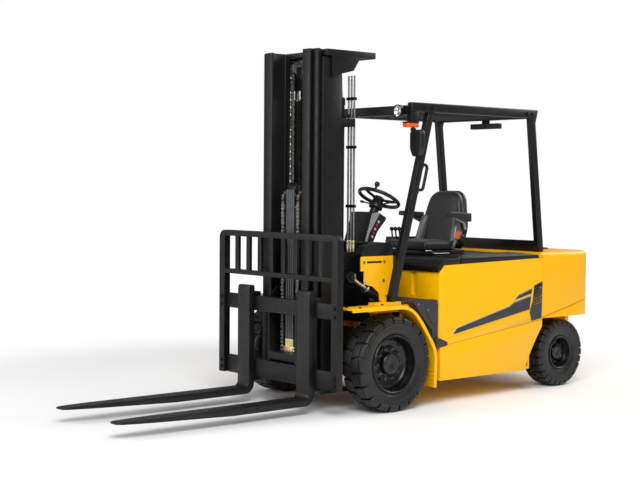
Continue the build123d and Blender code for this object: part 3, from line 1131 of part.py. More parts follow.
def load_backrest():
    """The load backrest: a rounded outer frame, a lower rail and upright bars."""
    front = BACKREST_REAR_X + BACKREST_DEPTH
    outer = BACKREST_HALF_WIDTH
    inner = outer - BACKREST_POST
    frame = front_plate(
        [(-outer, LOWER_BAR_BOTTOM_Z), (-outer, BACKREST_TOP_Z), (outer, BACKREST_TOP_Z),
         (outer, LOWER_BAR_BOTTOM_Z),
         (inner, LOWER_BAR_BOTTOM_Z), (inner, BACKREST_TOP_Z - BACKREST_BAR), (-inner,
                                                                               BACKREST_TOP_Z - BACKREST_BAR),
         (-inner, LOWER_BAR_BOTTOM_Z)],
        BACKREST_REAR_X, front)
    corners = frame.edges().filter_by(Axis.X).group_by(Axis.Z)[-1]
    frame = fillet(corners, BACKREST_CORNER)
    frame += block((BACKREST_REAR_X, front), (-inner, inner), (BACKREST_RAIL_Z,
                                                               BACKREST_RAIL_Z + BACKREST_RAIL))
    pitch = 2 * inner / (BACKREST_BARS + 1)
    for index in range(BACKREST_BARS):
        y = -inner + (index + 1) * pitch
        frame += block((BACKREST_REAR_X + 18, front - 14), (y - BACKREST_BAR / 2, y + BACKREST_BAR / 2),
                       (BACKREST_RAIL_Z + BACKREST_RAIL, BACKREST_TOP_Z - BACKREST_BAR))
    return frame


def fork(side):
    """A fork: tapered blade, rounded heel, shank and the hooks that hang it on the bars."""
    back = FORK_FACE_X - FORK_THICKNESS
    top = FORK_BOTTOM_Z + FORK_THICKNESS
    blade = side_plate(
        [(back, FORK_TOP_Z), (FORK_FACE_X - 12, FORK_TOP_Z), (FORK_FACE_X, FORK_TOP_Z - 30),
         (FORK_FACE_X, top),
         (FORK_TIP_X, top), (FORK_TIP_X, top - FORK_TIP_THICKNESS), (FORK_FACE_X + 0.42 * FORK_LENGTH,
                                                                     FORK_BOTTOM_Z),
         (back, FORK_BOTTOM_Z)],
        -FORK_WIDTH / 2, FORK_WIDTH / 2, [6, 10, 40, HEEL_INNER_RADIUS, 5, 5, 300, HEEL_RADIUS])
    half, tip_half = FORK_WIDTH / 2, TIP_WIDTH / 2
    shoulder_x = FORK_TIP_X - TIP_TAPER
    blade &= plan_plate(
        [(back - 1, -half), (shoulder_x, -half), (FORK_TIP_X, -tip_half), (FORK_TIP_X, tip_half),
         (shoulder_x, half),
         (back - 1, half)],
        FORK_BOTTOM_Z - 1, FORK_TOP_Z + 1, [1, 400, TIP_CORNER, TIP_CORNER, 400, 1])
    hook_z = UPPER_BAR_TOP_Z + FORK_SEAT_GAP
    hook_x = BAR_REAR_X - FORK_SEAT_GAP - HOOK_LIP
    hook = side_plate(
        [(back, hook_z), (back, hook_z + HOOK_DEPTH), (hook_x, hook_z + HOOK_DEPTH), (hook_x, hook_z - 20),
         (hook_x + HOOK_LIP, hook_z - 20), (hook_x + HOOK_LIP, hook_z)],
        -FORK_WIDTH / 2 + 8, FORK_WIDTH / 2 - 8)
    low_z = LOWER_BAR_BOTTOM_Z - FORK_SEAT_GAP
    low_hook = side_plate(
        [(back, low_z), (back, low_z - HOOK_DEPTH), (hook_x, low_z - HOOK_DEPTH), (hook_x, low_z + 18),
         (hook_x + HOOK_LIP, low_z + 18), (hook_x + HOOK_LIP, low_z)],
        -FORK_WIDTH / 2 + 8, FORK_WIDTH / 2 - 8)
    return Pos(0, side * FORK_Y, 0) * (blade + hook + low_hook)


def tilt_frame(side):
    """A plane at the tilt cylinder's frame pin, its normal along the cylinder to the mast pin."""
    way = (TILT_MAST_X - TILT_FRAME_X, 0, TILT_MAST_Z - TILT_FRAME_Z)
    return Plane(origin=(TILT_FRAME_X, side * TILT_Y, TILT_FRAME_Z), x_dir=(0, 1, 0), z_dir=way)


def eye(distance, width, gap):
    """An eye across the cylinder's line, bored for its pin with the gap given."""
    ring = Pos(0, 0, distance) * Rot(0, 90, 0) * Cylinder(TILT_EYE_RADIUS, width)
    hole = Pos(0, 0, distance) * Rot(0, 90, 0) * Cylinder(TILT_PIN_RADIUS + gap, 2 * width)
    return ring, hole


def tilt_length():
    """The distance between the two pins of a tilt cylinder at rest."""
    return math.hypot(TILT_MAST_X - TILT_FRAME_X, TILT_MAST_Z - TILT_FRAME_Z)


def tilt_barrel(side):
    """A tilt cylinder's barrel with its rear eye."""
    ring, hole = eye(0, 2 * TILT_BARREL_RADIUS, RUNNING_GAP)
    start, end = 30.0, 0.7 * tilt_length()
    body = Pos(0, 0, (start + end) / 2) * Cylinder(TILT_BARREL_RADIUS, end - start)
    bore = Pos(0, 0, (80 + end - 30) / 2) * Cylinder(TILT_BARREL_RADIUS - TILT_BARREL_WALL, end - 30 - 80)
    gland = Pos(0, 0, end) * Cylinder(TILT_ROD_RADIUS + ROD_GAP, 120)
    return tilt_frame(side) * (ring + body - bore - gland - hole)


def tilt_rod(side):
    """A tilt cylinder's rod with the eye that takes the mast's pin."""
    length = tilt_length()
    ring, hole = eye(length, TILT_EYE_WIDTH, TILT_EYE_GAP)
    start, end = 150.0, length - 0.5 * TILT_EYE_RADIUS
    bar = Pos(0, 0, (start + end) / 2) * Cylinder(TILT_ROD_RADIUS, end - start)
    return tilt_frame(side) * (ring + bar - hole)


def panel_top(x):
    """The height of the side covers' top edge."""
    share = (BODY_FRONT_X - x) / (BODY_FRONT_X - COUNTERWEIGHT_FRONT_X)
    return PANEL_TOP_FRONT_Z + share * (PANEL_TOP_REAR_Z - PANEL_TOP_FRONT_Z)


def hood():
    """The black hood over the battery that carries the seat."""
    cover = side_plate(
        [(HOOD_FRONT_X, panel_top(HOOD_FRONT_X) + REST_GAP), (HOOD_FRONT_X, HOOD_TOP_Z - 6),
         (HOOD_FRONT_X - 6, HOOD_TOP_Z),
         (HOOD_REAR_X, HOOD_TOP_Z + 4), (HOOD_REAR_X, panel_top(HOOD_REAR_X) + REST_GAP)],
        -HOOD_HALF_WIDTH, HOOD_HALF_WIDTH)
    long_edges = cover.edges().filter_by(lambda edge: edge.length > HOOD_FRONT_X - HOOD_REAR_X - HOOD_EDGE)
    cover = fillet(long_edges.group_by(Axis.Z)[-1], HOOD_EDGE)
    hinge = rod_y(HOOD_REAR_X, PANEL_TOP_REAR_Z, -HINGE_HALF_LENGTH, HINGE_HALF_LENGTH, HINGE_RADIUS)
    return cover + hinge


def seat_base():
    """The plinth under the seat and its back."""
    return block((SEAT_REAR_X - SEAT_BACK_THICKNESS, SEAT_FRONT_X - CUSHION_NOSE),
                 (-SEAT_HALF_WIDTH + 30, SEAT_HALF_WIDTH - 30),
                 (HOOD_TOP_Z + 3, HOOD_TOP_Z + SEAT_BASE_HEIGHT))


def seat_cushion():
    """The seat cushion: a pad with a round nose and crowned sides."""
    low = HOOD_TOP_Z + SEAT_BASE_HEIGHT
    high = low + CUSHION_HEIGHT
    pad = side_plate([(SEAT_REAR_X, low), (SEAT_REAR_X, high - 14), (SEAT_FRONT_X, high),
                      (SEAT_FRONT_X, low)],
                     -SEAT_HALF_WIDTH, SEAT_HALF_WIDTH, [2, 2, CUSHION_NOSE, CUSHION_NOSE])
    return pad & front_plate(
        [(-SEAT_HALF_WIDTH, low), (SEAT_HALF_WIDTH, low), (SEAT_HALF_WIDTH, high),
         (-SEAT_HALF_WIDTH, high)],
        SEAT_REAR_X, SEAT_FRONT_X, [12, 12, CUSHION_NOSE, CUSHION_NOSE])


def seat_back():
    """The seat back: a leaning pad with round shoulders, which stands on the plinth."""
    low = HOOD_TOP_Z + SEAT_BASE_HEIGHT
    lean = SEAT_BACK_LEAN * (SEAT_BACK_TOP_Z - low)
    front = SEAT_REAR_X
    rear = front - SEAT_BACK_THICKNESS
    pad = side_plate(
        [(front, low), (front, low + CUSHION_HEIGHT), (front - lean, SEAT_BACK_TOP_Z),
         (rear - lean, SEAT_BACK_TOP_Z - 20),
         (rear, low)],
        -SEAT_HALF_WIDTH, SEAT_HALF_WIDTH, [2, 60, 40, 40, 10])
    return pad & front_plate(
        [(-SEAT_HALF_WIDTH, low), (SEAT_HALF_WIDTH, low), (SEAT_HALF_WIDTH, SEAT_BACK_TOP_Z),
         (-SEAT_HALF_WIDTH, SEAT_BACK_TOP_Z)],
        rear - lean - 1, front + 1, [12, 12, SEAT_SHOULDER, SEAT_SHOULDER])


def armrest():
    """The left armrest beside the seat back."""
    return side_plate(ARMREST_OUTLINE, SEAT_HALF_WIDTH, SEAT_HALF_WIDTH + ARMREST_WIDTH, 8)


def lever_console():
    """The control console on the hood at the right of the seat."""
    inner = -SEAT_HALF_WIDTH - CONSOLE_GAP
    outer = inner - CONSOLE_WIDTH
    console = block(CONSOLE_POST, (outer, inner), (HOOD_TOP_Z + 3, CONSOLE_POST_TOP_Z))
    console += side_plate(CONSOLE_ARM, outer, inner)
    for index in range(LEVERS):
        x = LEVER_FIRST_X - LEVER_PITCH * index
        y = outer + CONSOLE_GAP + 0.7 * LEVER_PITCH * index
        console += rod((x, y, LEVER_LOW_Z), (x + 10, y, LEVER_TOP_Z), LEVER_RADIUS)
    return console


def sided(name, maker):
    """The left and right nodes that one maker gives."""
    return {name + "_left": maker(1), name + "_right": maker(-1)}


def wheel_nodes():
    """Rims and tyres on their four hubs."""
    front_tyre = tyre(FRONT_TYRE_RADIUS, FRONT_TYRE_WIDTH, FRONT_RIM_RADIUS, FRONT_LUGS, FRONT_LUG_DEPTH)
    front_rim = rim(FRONT_TYRE_WIDTH, FRONT_RIM_RADIUS, HUB_RADIUS, SPINDLE_RADIUS)
    rear_tyre = tyre(REAR_TYRE_RADIUS, REAR_TYRE_WIDTH, REAR_RIM_RADIUS, REAR_LUGS, REAR_LUG_DEPTH)
    rear_rim = rim(REAR_TYRE_WIDTH, REAR_RIM_RADIUS, REAR_HUB_RADIUS, REAR_SPINDLE_RADIUS)
    nodes = {}
    for label, side in (("left", 1), ("right", -1)):
        front = (0, side * FRONT_WHEEL_Y, FRONT_TYRE_RADIUS)
        rear = (-WHEELBASE, side * REAR_WHEEL_Y, REAR_TYRE_RADIUS)
        nodes["tyre_front_" + label] = placed_wheel(front_tyre, *front)
        nodes["rim_front_" + label] = placed_wheel(front_rim, *front)
        nodes["tyre_rear_" + label] = placed_wheel(rear_tyre, *rear)
        nodes["rim_rear_" + label] = placed_wheel(rear_rim, *rear)
    return nodes


def truck():
    """Every node of the truck by name."""
    knuckle_left = knuckle()
    nodes = {
        "chassis_frame": chassis_frame(),
        "counterweight": counterweight(),
        "battery": battery(),
        "floor_and_steps": floor_and_steps(),
        "front_cowl": front_cowl(),
        "dashboard": dashboard(),
        "front_deck": front_deck(),
        "guard_left": guard_side(),
        "guard_right": mirror(guard_side(), about=Plane.XZ),
        "guard_roof": guard_roof(),
        "lamp_gussets": gussets(),
        "rear_panel": rear_panel(),
        "headlamps": headlamps(),
        "turn_signals": turn_signals(),
        "mirrors": mirrors(),
        "rear_lamp": rear_lamp(),
        "grab_handles": grab_handles(),
        "drive_axle": drive_axle(),
        "steer_axle": steer_axle(),
        "knuckle_left": knuckle_left,
        "knuckle_right": mirror(knuckle_left, about=Plane.XZ),
        "steering_wheel": steering_wheel(),
        "outer_mast": outer_mast(),
        "lift_barrels": lift_barrels(),
        "mast_pipes": mast_pipes(),
        "middle_mast": middle_mast(),
        "lift_rods": lift_rods(),
        "main_chains": main_chains(),
        "inner_mast": inner_mast(),
        "free_lift_barrel": free_lift_barrel(),
        "crosshead": crosshead(),
        "free_lift_chains": free_lift_chains(),
        "free_lift_hoses": free_lift_hoses(),
        "carriage": carriage(),
        "load_backrest": load_backrest(),
        "hood": hood(),
        "seat_base": seat_base(),
        "seat_cushion": seat_cushion(),
        "seat_back": seat_back(),
        "armrest": armrest(),
        "lever_console": lever_console(),
    }
    for name, maker in (("side_panel", side_panel), ("fender", fender), ("fork", fork),
                        ("tilt_barrel", tilt_barrel), ("tilt_rod", tilt_rod)):
        nodes.update(sided(name, maker))
    nodes.update(wheel_nodes())
    return nodes


def main():
    """Write one file for each node, with the truck's middle over the origin."""
    os.makedirs("parts", exist_ok=True)
    for name, part in truck().items():
        export_step(Pos(-TRUCK_MIDDLE_X, 0, 0) * part, "parts/" + name + ".step")


main()
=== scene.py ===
"""The visual model of an electric counterbalance forklift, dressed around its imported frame."""
import logging
import math
from dataclasses import dataclass
from enum import Enum
from typing import Any, Callable, Optional, Sequence

import bpy
from mathutils import Matrix, Vector


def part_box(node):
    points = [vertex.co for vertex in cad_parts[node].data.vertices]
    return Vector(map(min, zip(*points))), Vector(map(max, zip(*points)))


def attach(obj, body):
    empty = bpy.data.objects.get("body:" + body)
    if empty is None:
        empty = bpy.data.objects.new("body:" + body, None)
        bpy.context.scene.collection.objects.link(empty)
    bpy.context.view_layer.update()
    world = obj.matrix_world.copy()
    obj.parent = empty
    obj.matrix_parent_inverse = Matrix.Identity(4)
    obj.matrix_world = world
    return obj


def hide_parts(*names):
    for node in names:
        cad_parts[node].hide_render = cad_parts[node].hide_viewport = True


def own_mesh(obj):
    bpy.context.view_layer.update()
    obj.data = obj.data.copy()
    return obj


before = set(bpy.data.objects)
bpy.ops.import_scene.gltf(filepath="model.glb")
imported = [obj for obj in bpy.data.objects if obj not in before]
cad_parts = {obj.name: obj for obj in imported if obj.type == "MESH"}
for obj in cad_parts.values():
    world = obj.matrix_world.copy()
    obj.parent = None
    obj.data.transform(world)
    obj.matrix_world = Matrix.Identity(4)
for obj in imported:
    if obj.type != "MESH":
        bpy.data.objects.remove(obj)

LOG = logging.getLogger("forklift")
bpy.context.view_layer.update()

MM = 0.001
AXLE_X = sum(corner.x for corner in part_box("rim_front_left")) / 2
Point = tuple[float, float]
Span = tuple[float, float]
Piece = bpy.types.Object
Tree = bpy.types.NodeTree
Socket = bpy.types.NodeSocket
AHEAD = Vector((1, 0, 0))
LEFT = Vector((0, 1, 0))
UP = Vector((0, 0, 1))
ON_AXIS = 0.001
FAR = 3000.0
ALL = (-FAR, FAR)


def place(x: float, y: float, z: float) -> Vector:
    """A point of the frame from millimetres ahead of the front axle, to the left and above the floor.

    Args:
        x: Millimetres ahead of the front axle.
        y: Millimetres to the left of the middle.
        z: Millimetres above the floor.

    Returns:
        The point in the frame's metres.
    """
    return Vector((x * MM + AXLE_X, y * MM, z * MM))


class View(Enum):
    """The side from which an outline is drawn."""

    SIDE = "x and z, carried across the truck"
    PLAN = "x and y, carried upwards"
    FRONT = "y and z, carried along the truck"

    def point(self, flat: Point, depth: float) -> Vector:
        """Puts a point of the outline into the frame.

        Args:
            flat: The outline's point in millimetres.
            depth: Where it lies across the outline's plane, in millimetres.

        Returns:
            The point in the frame's metres.
        """
        if self is View.SIDE:
            return place(flat[0], depth, flat[1])
        if self is View.PLAN:
            return place(flat[0], flat[1], depth)
        return place(depth, flat[0], flat[1])


def rounded(points: Sequence[Point], radius: float | Sequence[float], steps: int = 5) -> list[Point]:
    """Rounds the corners of a closed outline.

    Args:
        points: The outline's corners in millimetres.
        radius: One radius for all corners, or one for each.
        steps: How many edges draw each round.

    Returns:
        The outline with an arc in place of each corner.
    """
    count = len(points)
    radii = [radius] * count if isinstance(radius, (int, float)) else list(radius)
    outline: list[Point] = []
    for index, size in enumerate(radii):
        corner = Vector(points[index])
        back = Vector(points[index - 1]) - corner
        ahead = Vector(points[(index + 1) % count]) - corner
        half_angle = back.angle(ahead) / 2
        reach = min(size / math.tan(half_angle), 0.49 * back.length, 0.49 * ahead.length) if size > 0 else 0
        if reach <= 0:
            outline.append(tuple(corner))
            continue
        true_radius = reach * math.tan(half_angle)
        start = corner + back.normalized() * reach
        inward = (back.normalized() + ahead.normalized()).normalized()
        middle = corner + inward * (true_radius / math.sin(half_angle))
        first = start - middle
        last = corner + ahead.normalized() * reach - middle
        sweep = first.angle_signed(last)
        for step in range(steps + 1):
            turn = -sweep * step / steps
            outline.append((middle.x + first.x * math.cos(turn) - first.y * math.sin(turn),
                            middle.y + first.x * math.sin(turn) + first.y * math.cos(turn)))
    return outline


class Bench:
    """Blender's modelling operators, used on one piece at a time."""

    @staticmethod
    def clear() -> None:
        """Leaves edit mode and deselects everything."""
        if bpy.context.object and bpy.context.object.mode != "OBJECT":
            bpy.ops.object.mode_set(mode="OBJECT")
        bpy.ops.object.select_all(action="DESELECT")

    @staticmethod
    def only(piece: Piece) -> Piece:
        """Selects one piece and makes it active."""
        Bench.clear()
        piece.select_set(True)
        bpy.context.view_layer.objects.active = piece
        return piece

    @staticmethod
    def settle(name: str) -> Piece:
        """Names the new primitive and puts its place into its mesh."""
        piece = bpy.context.object
        piece.name = name
        piece.data.name = name
        bpy.ops.object.transform_apply(location=True, rotation=True, scale=True)
        return piece

    @staticmethod
    def block(name: str, x: Span, y: Span, z: Span) -> Piece:
        """A cube set to the box between two values along each axis.

        Args:
            name: The piece's name.
            x: Its ends along the truck, in millimetres.
            y: Its ends across the truck.
            z: Its lowest and highest level.

        Returns:
            The new piece.
        """
        Bench.clear()
        low = place(min(x), min(y), min(z))
        high = place(max(x), max(y), max(z))
        bpy.ops.mesh.primitive_cube_add(size=1, location=(low + high) / 2, scale=high - low)
        return Bench.settle(name)

    @staticmethod
    def bar(name: str, start: Vector, end: Vector, radius: float, sides: int = 32,
            ends: str = "NGON") -> Piece:
        """A round bar between two points of the frame.

        Args:
            name: The piece's name.
            start: One end, in metres.
            end: The other end.
            radius: In millimetres.
            sides: How many flats draw the round.
            ends: How its ends are filled, NOTHING for an open pipe.

        Returns:
            The new piece.
        """
        Bench.clear()
        way = end - start
        bpy.ops.mesh.primitive_cylinder_add(
            vertices=sides, radius=radius * MM, depth=way.length, location=(start + end) / 2,
            rotation=way.to_track_quat("Z", "Y").to_euler(), end_fill_type=ends)
        return Bench.settle(name)

    @staticmethod
    def plate(name: str, view: View, points: Sequence[Point], start: float, end: float) -> Piece:
        """An outline carried from one depth to another.

        Args:
            name: The piece's name.
            view: The side from which the outline is drawn.
            points: The closed outline in millimetres.
            start: The depth of its first face.
            end: The depth of its last face.

        Returns:
            The new piece.
        """
        Bench.clear()
        bpy.ops.mesh.primitive_circle_add(vertices=len(points), fill_type="NGON")
        piece = Bench.settle(name)
        for vertex, point in zip(piece.data.vertices, points):
            vertex.co = view.point(point, start)
        way = view.point((0, 0), end) - view.point((0, 0), start)
        bpy.ops.object.mode_set(mode="EDIT")
        bpy.ops.mesh.select_all(action="SELECT")
        bpy.ops.mesh.extrude_region_move(TRANSFORM_OT_translate={"value": way})
        bpy.ops.mesh.select_all(action="SELECT")
        bpy.ops.mesh.normals_make_consistent(inside=False)
        bpy.ops.object.mode_set(mode="OBJECT")
        return piece

    @staticmethod
    def spun(name: str, profile: Sequence[Point], middle: Vector, axis: Vector, steps: int = 64,
             angle: float = 2 * math.pi) -> Piece:
        """A closed outline of (radius, along) spun about an axis.

        Args:
            name: The piece's name.
            profile: The outline in millimetres.
            middle: The point of the axis from which along is measured.
            axis: The direction of the axis.
            steps: How many facets draw the turn.
            angle: How far it is spun, in radians.

        Returns:
            The new piece.
        """
        Bench.clear()
        whole = angle > 2 * math.pi - 1e-6
        bpy.ops.mesh.primitive_circle_add(vertices=len(profile), fill_type="NOTHING" if whole else "NGON")
        piece = Bench.settle(name)
        axis = axis.normalized()
        out = axis.orthogonal().normalized()
        if abs(axis.y) > 0.99:
            out = AHEAD
        for vertex, (radius, along) in zip(piece.data.vertices, profile):
            vertex.co = middle + out * (radius * MM) + axis * (along * MM)
        bpy.ops.object.mode_set(mode="EDIT")
        bpy.ops.mesh.select_all(action="SELECT")
        bpy.ops.mesh.spin(steps=steps, angle=angle, center=middle, axis=axis)
        bpy.ops.mesh.select_all(action="SELECT")
        bpy.ops.mesh.remove_doubles(threshold=1e-6)
        bpy.ops.mesh.normals_make_consistent(inside=False)
        bpy.ops.object.mode_set(mode="OBJECT")
        return piece

    @staticmethod
    def tube(name: str, points: Sequence[Vector], radius: float) -> Piece:
        """A round tube along a smooth line near the points.

        Args:
            name: The piece's name.
            points: The line's control points, in metres.
            radius: In millimetres.

        Returns:
            The new piece, as a mesh.
        """
        Bench.clear()
        bpy.ops.curve.primitive_nurbs_path_add()
        piece = bpy.context.object
        curve = piece.data
        curve.splines.clear()
        spline = curve.splines.new("NURBS")
        spline.points.add(len(points) - 1)
        for slot, point in zip(spline.points, points):
            slot.co = (*point, 1)
        spline.order_u = 3
        spline.use_endpoint_u = True
        spline.resolution_u = 8
        curve.dimensions = "3D"
        curve.bevel_depth = radius * MM
        curve.bevel_resolution = 4
        curve.use_fill_caps = True
        bpy.ops.object.convert(target="MESH")
        return Bench.shade(Bench.settle(name))

    @staticmethod
    def carbon(node: str, name: str) -> Piece:
        """A merged copy of a CAD node's mesh, with its flat faces joined up.

        Args:
            node: The node's name.
            name: The new piece's name.

        Returns:
            The new piece.
        """
        Bench.clear()
        piece = bpy.data.objects.new(name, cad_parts[node].data.copy())
        piece.data.name = name
        piece.data.materials.clear()
        bpy.context.scene.collection.objects.link(piece)
        Bench.only(piece)
        bpy.ops.object.mode_set(mode="EDIT")
        bpy.ops.mesh.select_all(action="SELECT")
        bpy.ops.mesh.remove_doubles(threshold=1e-5)
        bpy.ops.mesh.dissolve_limited(angle_limit=math.radians(0.6))
        bpy.ops.object.mode_set(mode="OBJECT")
        return piece

    @staticmethod
    def shade(piece: Piece, angle: float = 32) -> Piece:
        """Shades a piece smooth up to an angle in degrees."""
        Bench.only(piece)
        bpy.ops.object.shade_smooth_by_angle(angle=math.radians(angle))
        return piece

    @staticmethod
    def soften(piece: Piece, width: float, segments: int = 3, angle: float = 28) -> Piece:
        """Rounds the sharp edges of a piece and shades it.

        Args:
            piece: The piece to work on.
            width: The size of the round in millimetres.
            segments: How many faces draw it.
            angle: The least angle in degrees of an edge that is rounded.

        Returns:
            The same piece.
        """
        Bench.only(piece)
        bevel = piece.modifiers.new("round", "BEVEL")
        bevel.width = width * MM
        bevel.segments = segments
        bevel.limit_method = "ANGLE"
        bevel.angle_limit = math.radians(angle)
        bevel.use_clamp_overlap = True
        bevel.miter_outer = "MITER_ARC"
        bpy.ops.object.modifier_apply(modifier=bevel.name)
        return Bench.shade(piece)

    @staticmethod
    def cut(piece: Piece, *cutters: Piece) -> Piece:
        """Takes the cutters out of a piece and deletes them."""
        for cutter in cutters:
            Bench.only(piece)
            boolean = piece.modifiers.new("cut", "BOOLEAN")
            boolean.operation = "DIFFERENCE"
            boolean.solver = "EXACT"
            boolean.object = cutter
            bpy.ops.object.modifier_apply(modifier=boolean.name)
            bpy.data.objects.remove(cutter)
        return piece

    @staticmethod
    def copy(piece: Piece, name: str, move: Matrix) -> Piece:
        """A copy of a piece with its own mesh, moved by a matrix.

        Args:
            piece: The piece to copy.
            name: The copy's name.
            move: Where it goes; a mirroring matrix turns its faces back outwards.

        Returns:
            The copy.
        """
        twin = piece.copy()
        twin.data = piece.data.copy()
        twin.name = name
        twin.data.name = name
        twin.data.transform(move)
        if move.determinant() < 0:
            twin.data.flip_normals()
        bpy.context.scene.collection.objects.link(twin)
        return twin

    @staticmethod
    def mirrored(piece: Piece, name: str) -> Piece:
        """The piece's mirror image on the other side of the truck."""
        return Bench.copy(piece, name, Matrix.Scale(-1, 4, LEFT))

    @staticmethod
    def join(name: str, pieces: Sequence[Piece]) -> Piece:
        """Joins pieces into one object, each still its own shell."""
        Bench.clear()
        for piece in pieces:
            piece.select_set(True)
        bpy.context.view_layer.objects.active = pieces[0]
        if len(pieces) > 1:
            bpy.ops.object.join()
        whole = bpy.context.object
        whole.name = name
        whole.data.name = name
        return whole

    @staticmethod
    def repeat(name: str, piece: Piece, moves: Sequence[Matrix]) -> Piece:
        """Copies a piece to each place and joins the copies.

        Args:
            name: The joined piece's name.
            piece: The piece that was modelled once; it is deleted.
            moves: Where the copies go.

        Returns:
            The joined piece.
        """
        copies = [Bench.copy(piece, name, move) for move in moves]
        bpy.data.objects.remove(piece)
        return Bench.join(name, copies)

    @staticmethod
    def slices(piece: Piece, depths: Sequence[float], axis: Vector) -> Piece:
        """Adds edge loops where planes cross a piece.

        Args:
            piece: The piece to work on.
            depths: Where the planes lie along the axis, in millimetres from the axle, middle or floor.
            axis: The planes' normal, along one axis of the frame.

        Returns:
            The same piece.
        """
        Bench.only(piece)
        bpy.ops.object.mode_set(mode="EDIT")
        for depth in depths:
            bpy.ops.mesh.select_all(action="SELECT")
            bpy.ops.mesh.bisect(plane_co=place(depth * axis.x, depth * axis.y, depth * axis.z), plane_no=axis)
        bpy.ops.object.mode_set(mode="OBJECT")
        return piece

    @staticmethod
    def both_sides(name: str, piece: Piece) -> Piece:
        """The piece joined with its mirror image."""
        return Bench.join(name, [piece, Bench.mirrored(piece, name)])


def about(middle: Vector, axis: Vector, angle: float) -> Matrix:
    """A turn by an angle in radians about an axis through a point."""
    return Matrix.Translation(middle) @ Matrix.Rotation(angle, 4, axis) @ Matrix.Translation(-middle)


def shift(x: float, y: float, z: float) -> Matrix:
    """A move in millimetres."""
    return Matrix.Translation(Vector((x, y, z)) * MM)


def linear(code: str) -> tuple[float, float, float, float]:
    """Turns an sRGB hex colour into linear values.

    Args:
        code: Six hex digits after a hash sign.

    Returns:
        Red, green, blue and an alpha of one.
    """
    parts = [int(code[start:start + 2], 16) / 255 for start in (1, 3, 5)]
    red, green, blue = (part / 12.92 if part <= 0.04045 else ((part + 0.055) / 1.055) ** 2.4
                        for part in parts)
    return red, green, blue, 1.0


def add_node(tree: Tree, kind: str, inputs: Optional[dict[Any, Any]] = None,
             **settings: Any) -> bpy.types.Node:
    """Adds one shader node with its settings, values and links.

    Args:
        tree: The material's node tree.
        kind: The node's type name.
        inputs: A value or an output socket for each named input.
        settings: The node's own properties.

    Returns:
        The new node.
    """
    node = tree.nodes.new(kind)
    for key, value in settings.items():
        setattr(node, key, value)
    for key, value in (inputs or {}).items():
        if isinstance(value, Socket):
            tree.links.new(value, node.inputs[key])
        else:
            node.inputs[key].default_value = value
    return node


def per_metre(size: float) -> float:
    """The texture scale at which a pattern repeats at a size in millimetres."""
    return 1 / (size * MM)


@dataclass(frozen=True)
class Finish:
    """A surface: what it is made of, how it was made and what that gives the eye.

    Sizes of patterns are in millimetres, and grain_depth is the height of the bump.
    """

    name: str
    colour: str
    roughness: float
    metallic: float = 0.0
    ior: float = 1.5
    coat: float = 0.0
    coat_roughness: float = 0.1
    sheen: float = 0.0
    grain: float = 4.0
    grain_depth: float = 0.05
    blotch: float = 260.0
    blotch_colour: str = ""
    blotch_share: float = 0.12
    polish: float = 0.06

    def material(self) -> bpy.types.Material:
        """Makes the Blender material, or gives the one that was made before."""
        made = bpy.data.materials.get(self.name)
        if made:
            return made
        made = bpy.data.materials.new(self.name)
        made.use_nodes = True
        tree = made.node_tree
        tree.nodes.clear()
        place_in = add_node(tree, "ShaderNodeTexCoord").outputs["Object"]
        shader = add_node(tree, "ShaderNodeBsdfPrincipled", {
            "Metallic": self.metallic, "IOR": self.ior, "Coat Weight": self.coat,
            "Coat Roughness": self.coat_roughness, "Sheen Weight": self.sheen})
        tree.links.new(self.colour_over(tree, place_in), shader.inputs["Base Color"])
        tree.links.new(self.roughness_over(tree, place_in), shader.inputs["Roughness"])
        tree.links.new(self.bump_over(tree, place_in), shader.inputs["Normal"])
        self.extra(tree, place_in, shader)
        add_node(tree, "ShaderNodeOutputMaterial", {"Surface": shader.outputs["BSDF"]})
        made.diffuse_color = linear(self.colour)
        return made

    def colour_over(self, tree: Tree, place_in: Socket) -> Socket:
        """The colour with faint blotches of a second colour.

        Args:
            tree: The material's node tree.
            place_in: The coordinates in metres.

        Returns:
            The colour's socket.
        """
        noise = add_node(tree, "ShaderNodeTexNoise", {
            "Vector": place_in, "Scale": per_metre(self.blotch), "Detail": 4.0, "Roughness": 0.6})
        share = add_node(tree, "ShaderNodeMapRange", {
            "Value": noise.outputs["Fac"], "From Min": 0.35, "From Max": 0.7, "To Max": self.blotch_share})
        mix = add_node(tree, "ShaderNodeMix", {
            0: share.outputs["Result"], 6: linear(self.colour), 7: linear(self.blotch_colour or self.colour)},
            data_type="RGBA")
        return mix.outputs[2]

    def roughness_over(self, tree: Tree, place_in: Socket) -> Socket:
        """The roughness with soft patches that are more or less polished.

        Args:
            tree: The material's node tree.
            place_in: The coordinates in metres.

        Returns:
            The roughness's socket.
        """
        noise = add_node(tree, "ShaderNodeTexNoise", {
            "Vector": place_in, "Scale": per_metre(self.blotch / 3), "Detail": 5.0})
        value = add_node(tree, "ShaderNodeMapRange", {
            "Value": noise.outputs["Fac"], "From Min": 0.3, "From Max": 0.7,
            "To Min": self.roughness - self.polish, "To Max": self.roughness + self.polish})
        return value.outputs["Result"]

    def bump_over(self, tree: Tree, place_in: Socket) -> Socket:
        """The surface's relief as a bump.

        Args:
            tree: The material's node tree.
            place_in: The coordinates in metres.

        Returns:
            The normal's socket.
        """
        bump = add_node(tree, "ShaderNodeBump", {
            "Height": self.height_over(tree, place_in), "Distance": self.grain_depth * MM, "Strength": 1.0})
        return bump.outputs["Normal"]

    def height_over(self, tree: Tree, place_in: Socket) -> Socket:
        """The fine grain of the surface.

        Args:
            tree: The material's node tree.
            place_in: The coordinates in metres.

        Returns:
            The height's socket, from 0 to 1.
        """
        noise = add_node(tree, "ShaderNodeTexNoise", {
            "Vector": place_in, "Scale": per_metre(self.grain), "Detail": 2.0})
        return noise.outputs["Fac"]

    def extra(self, tree: Tree, place_in: Socket, shader: bpy.types.Node) -> None:
        """Room for what a finish adds to its shader."""


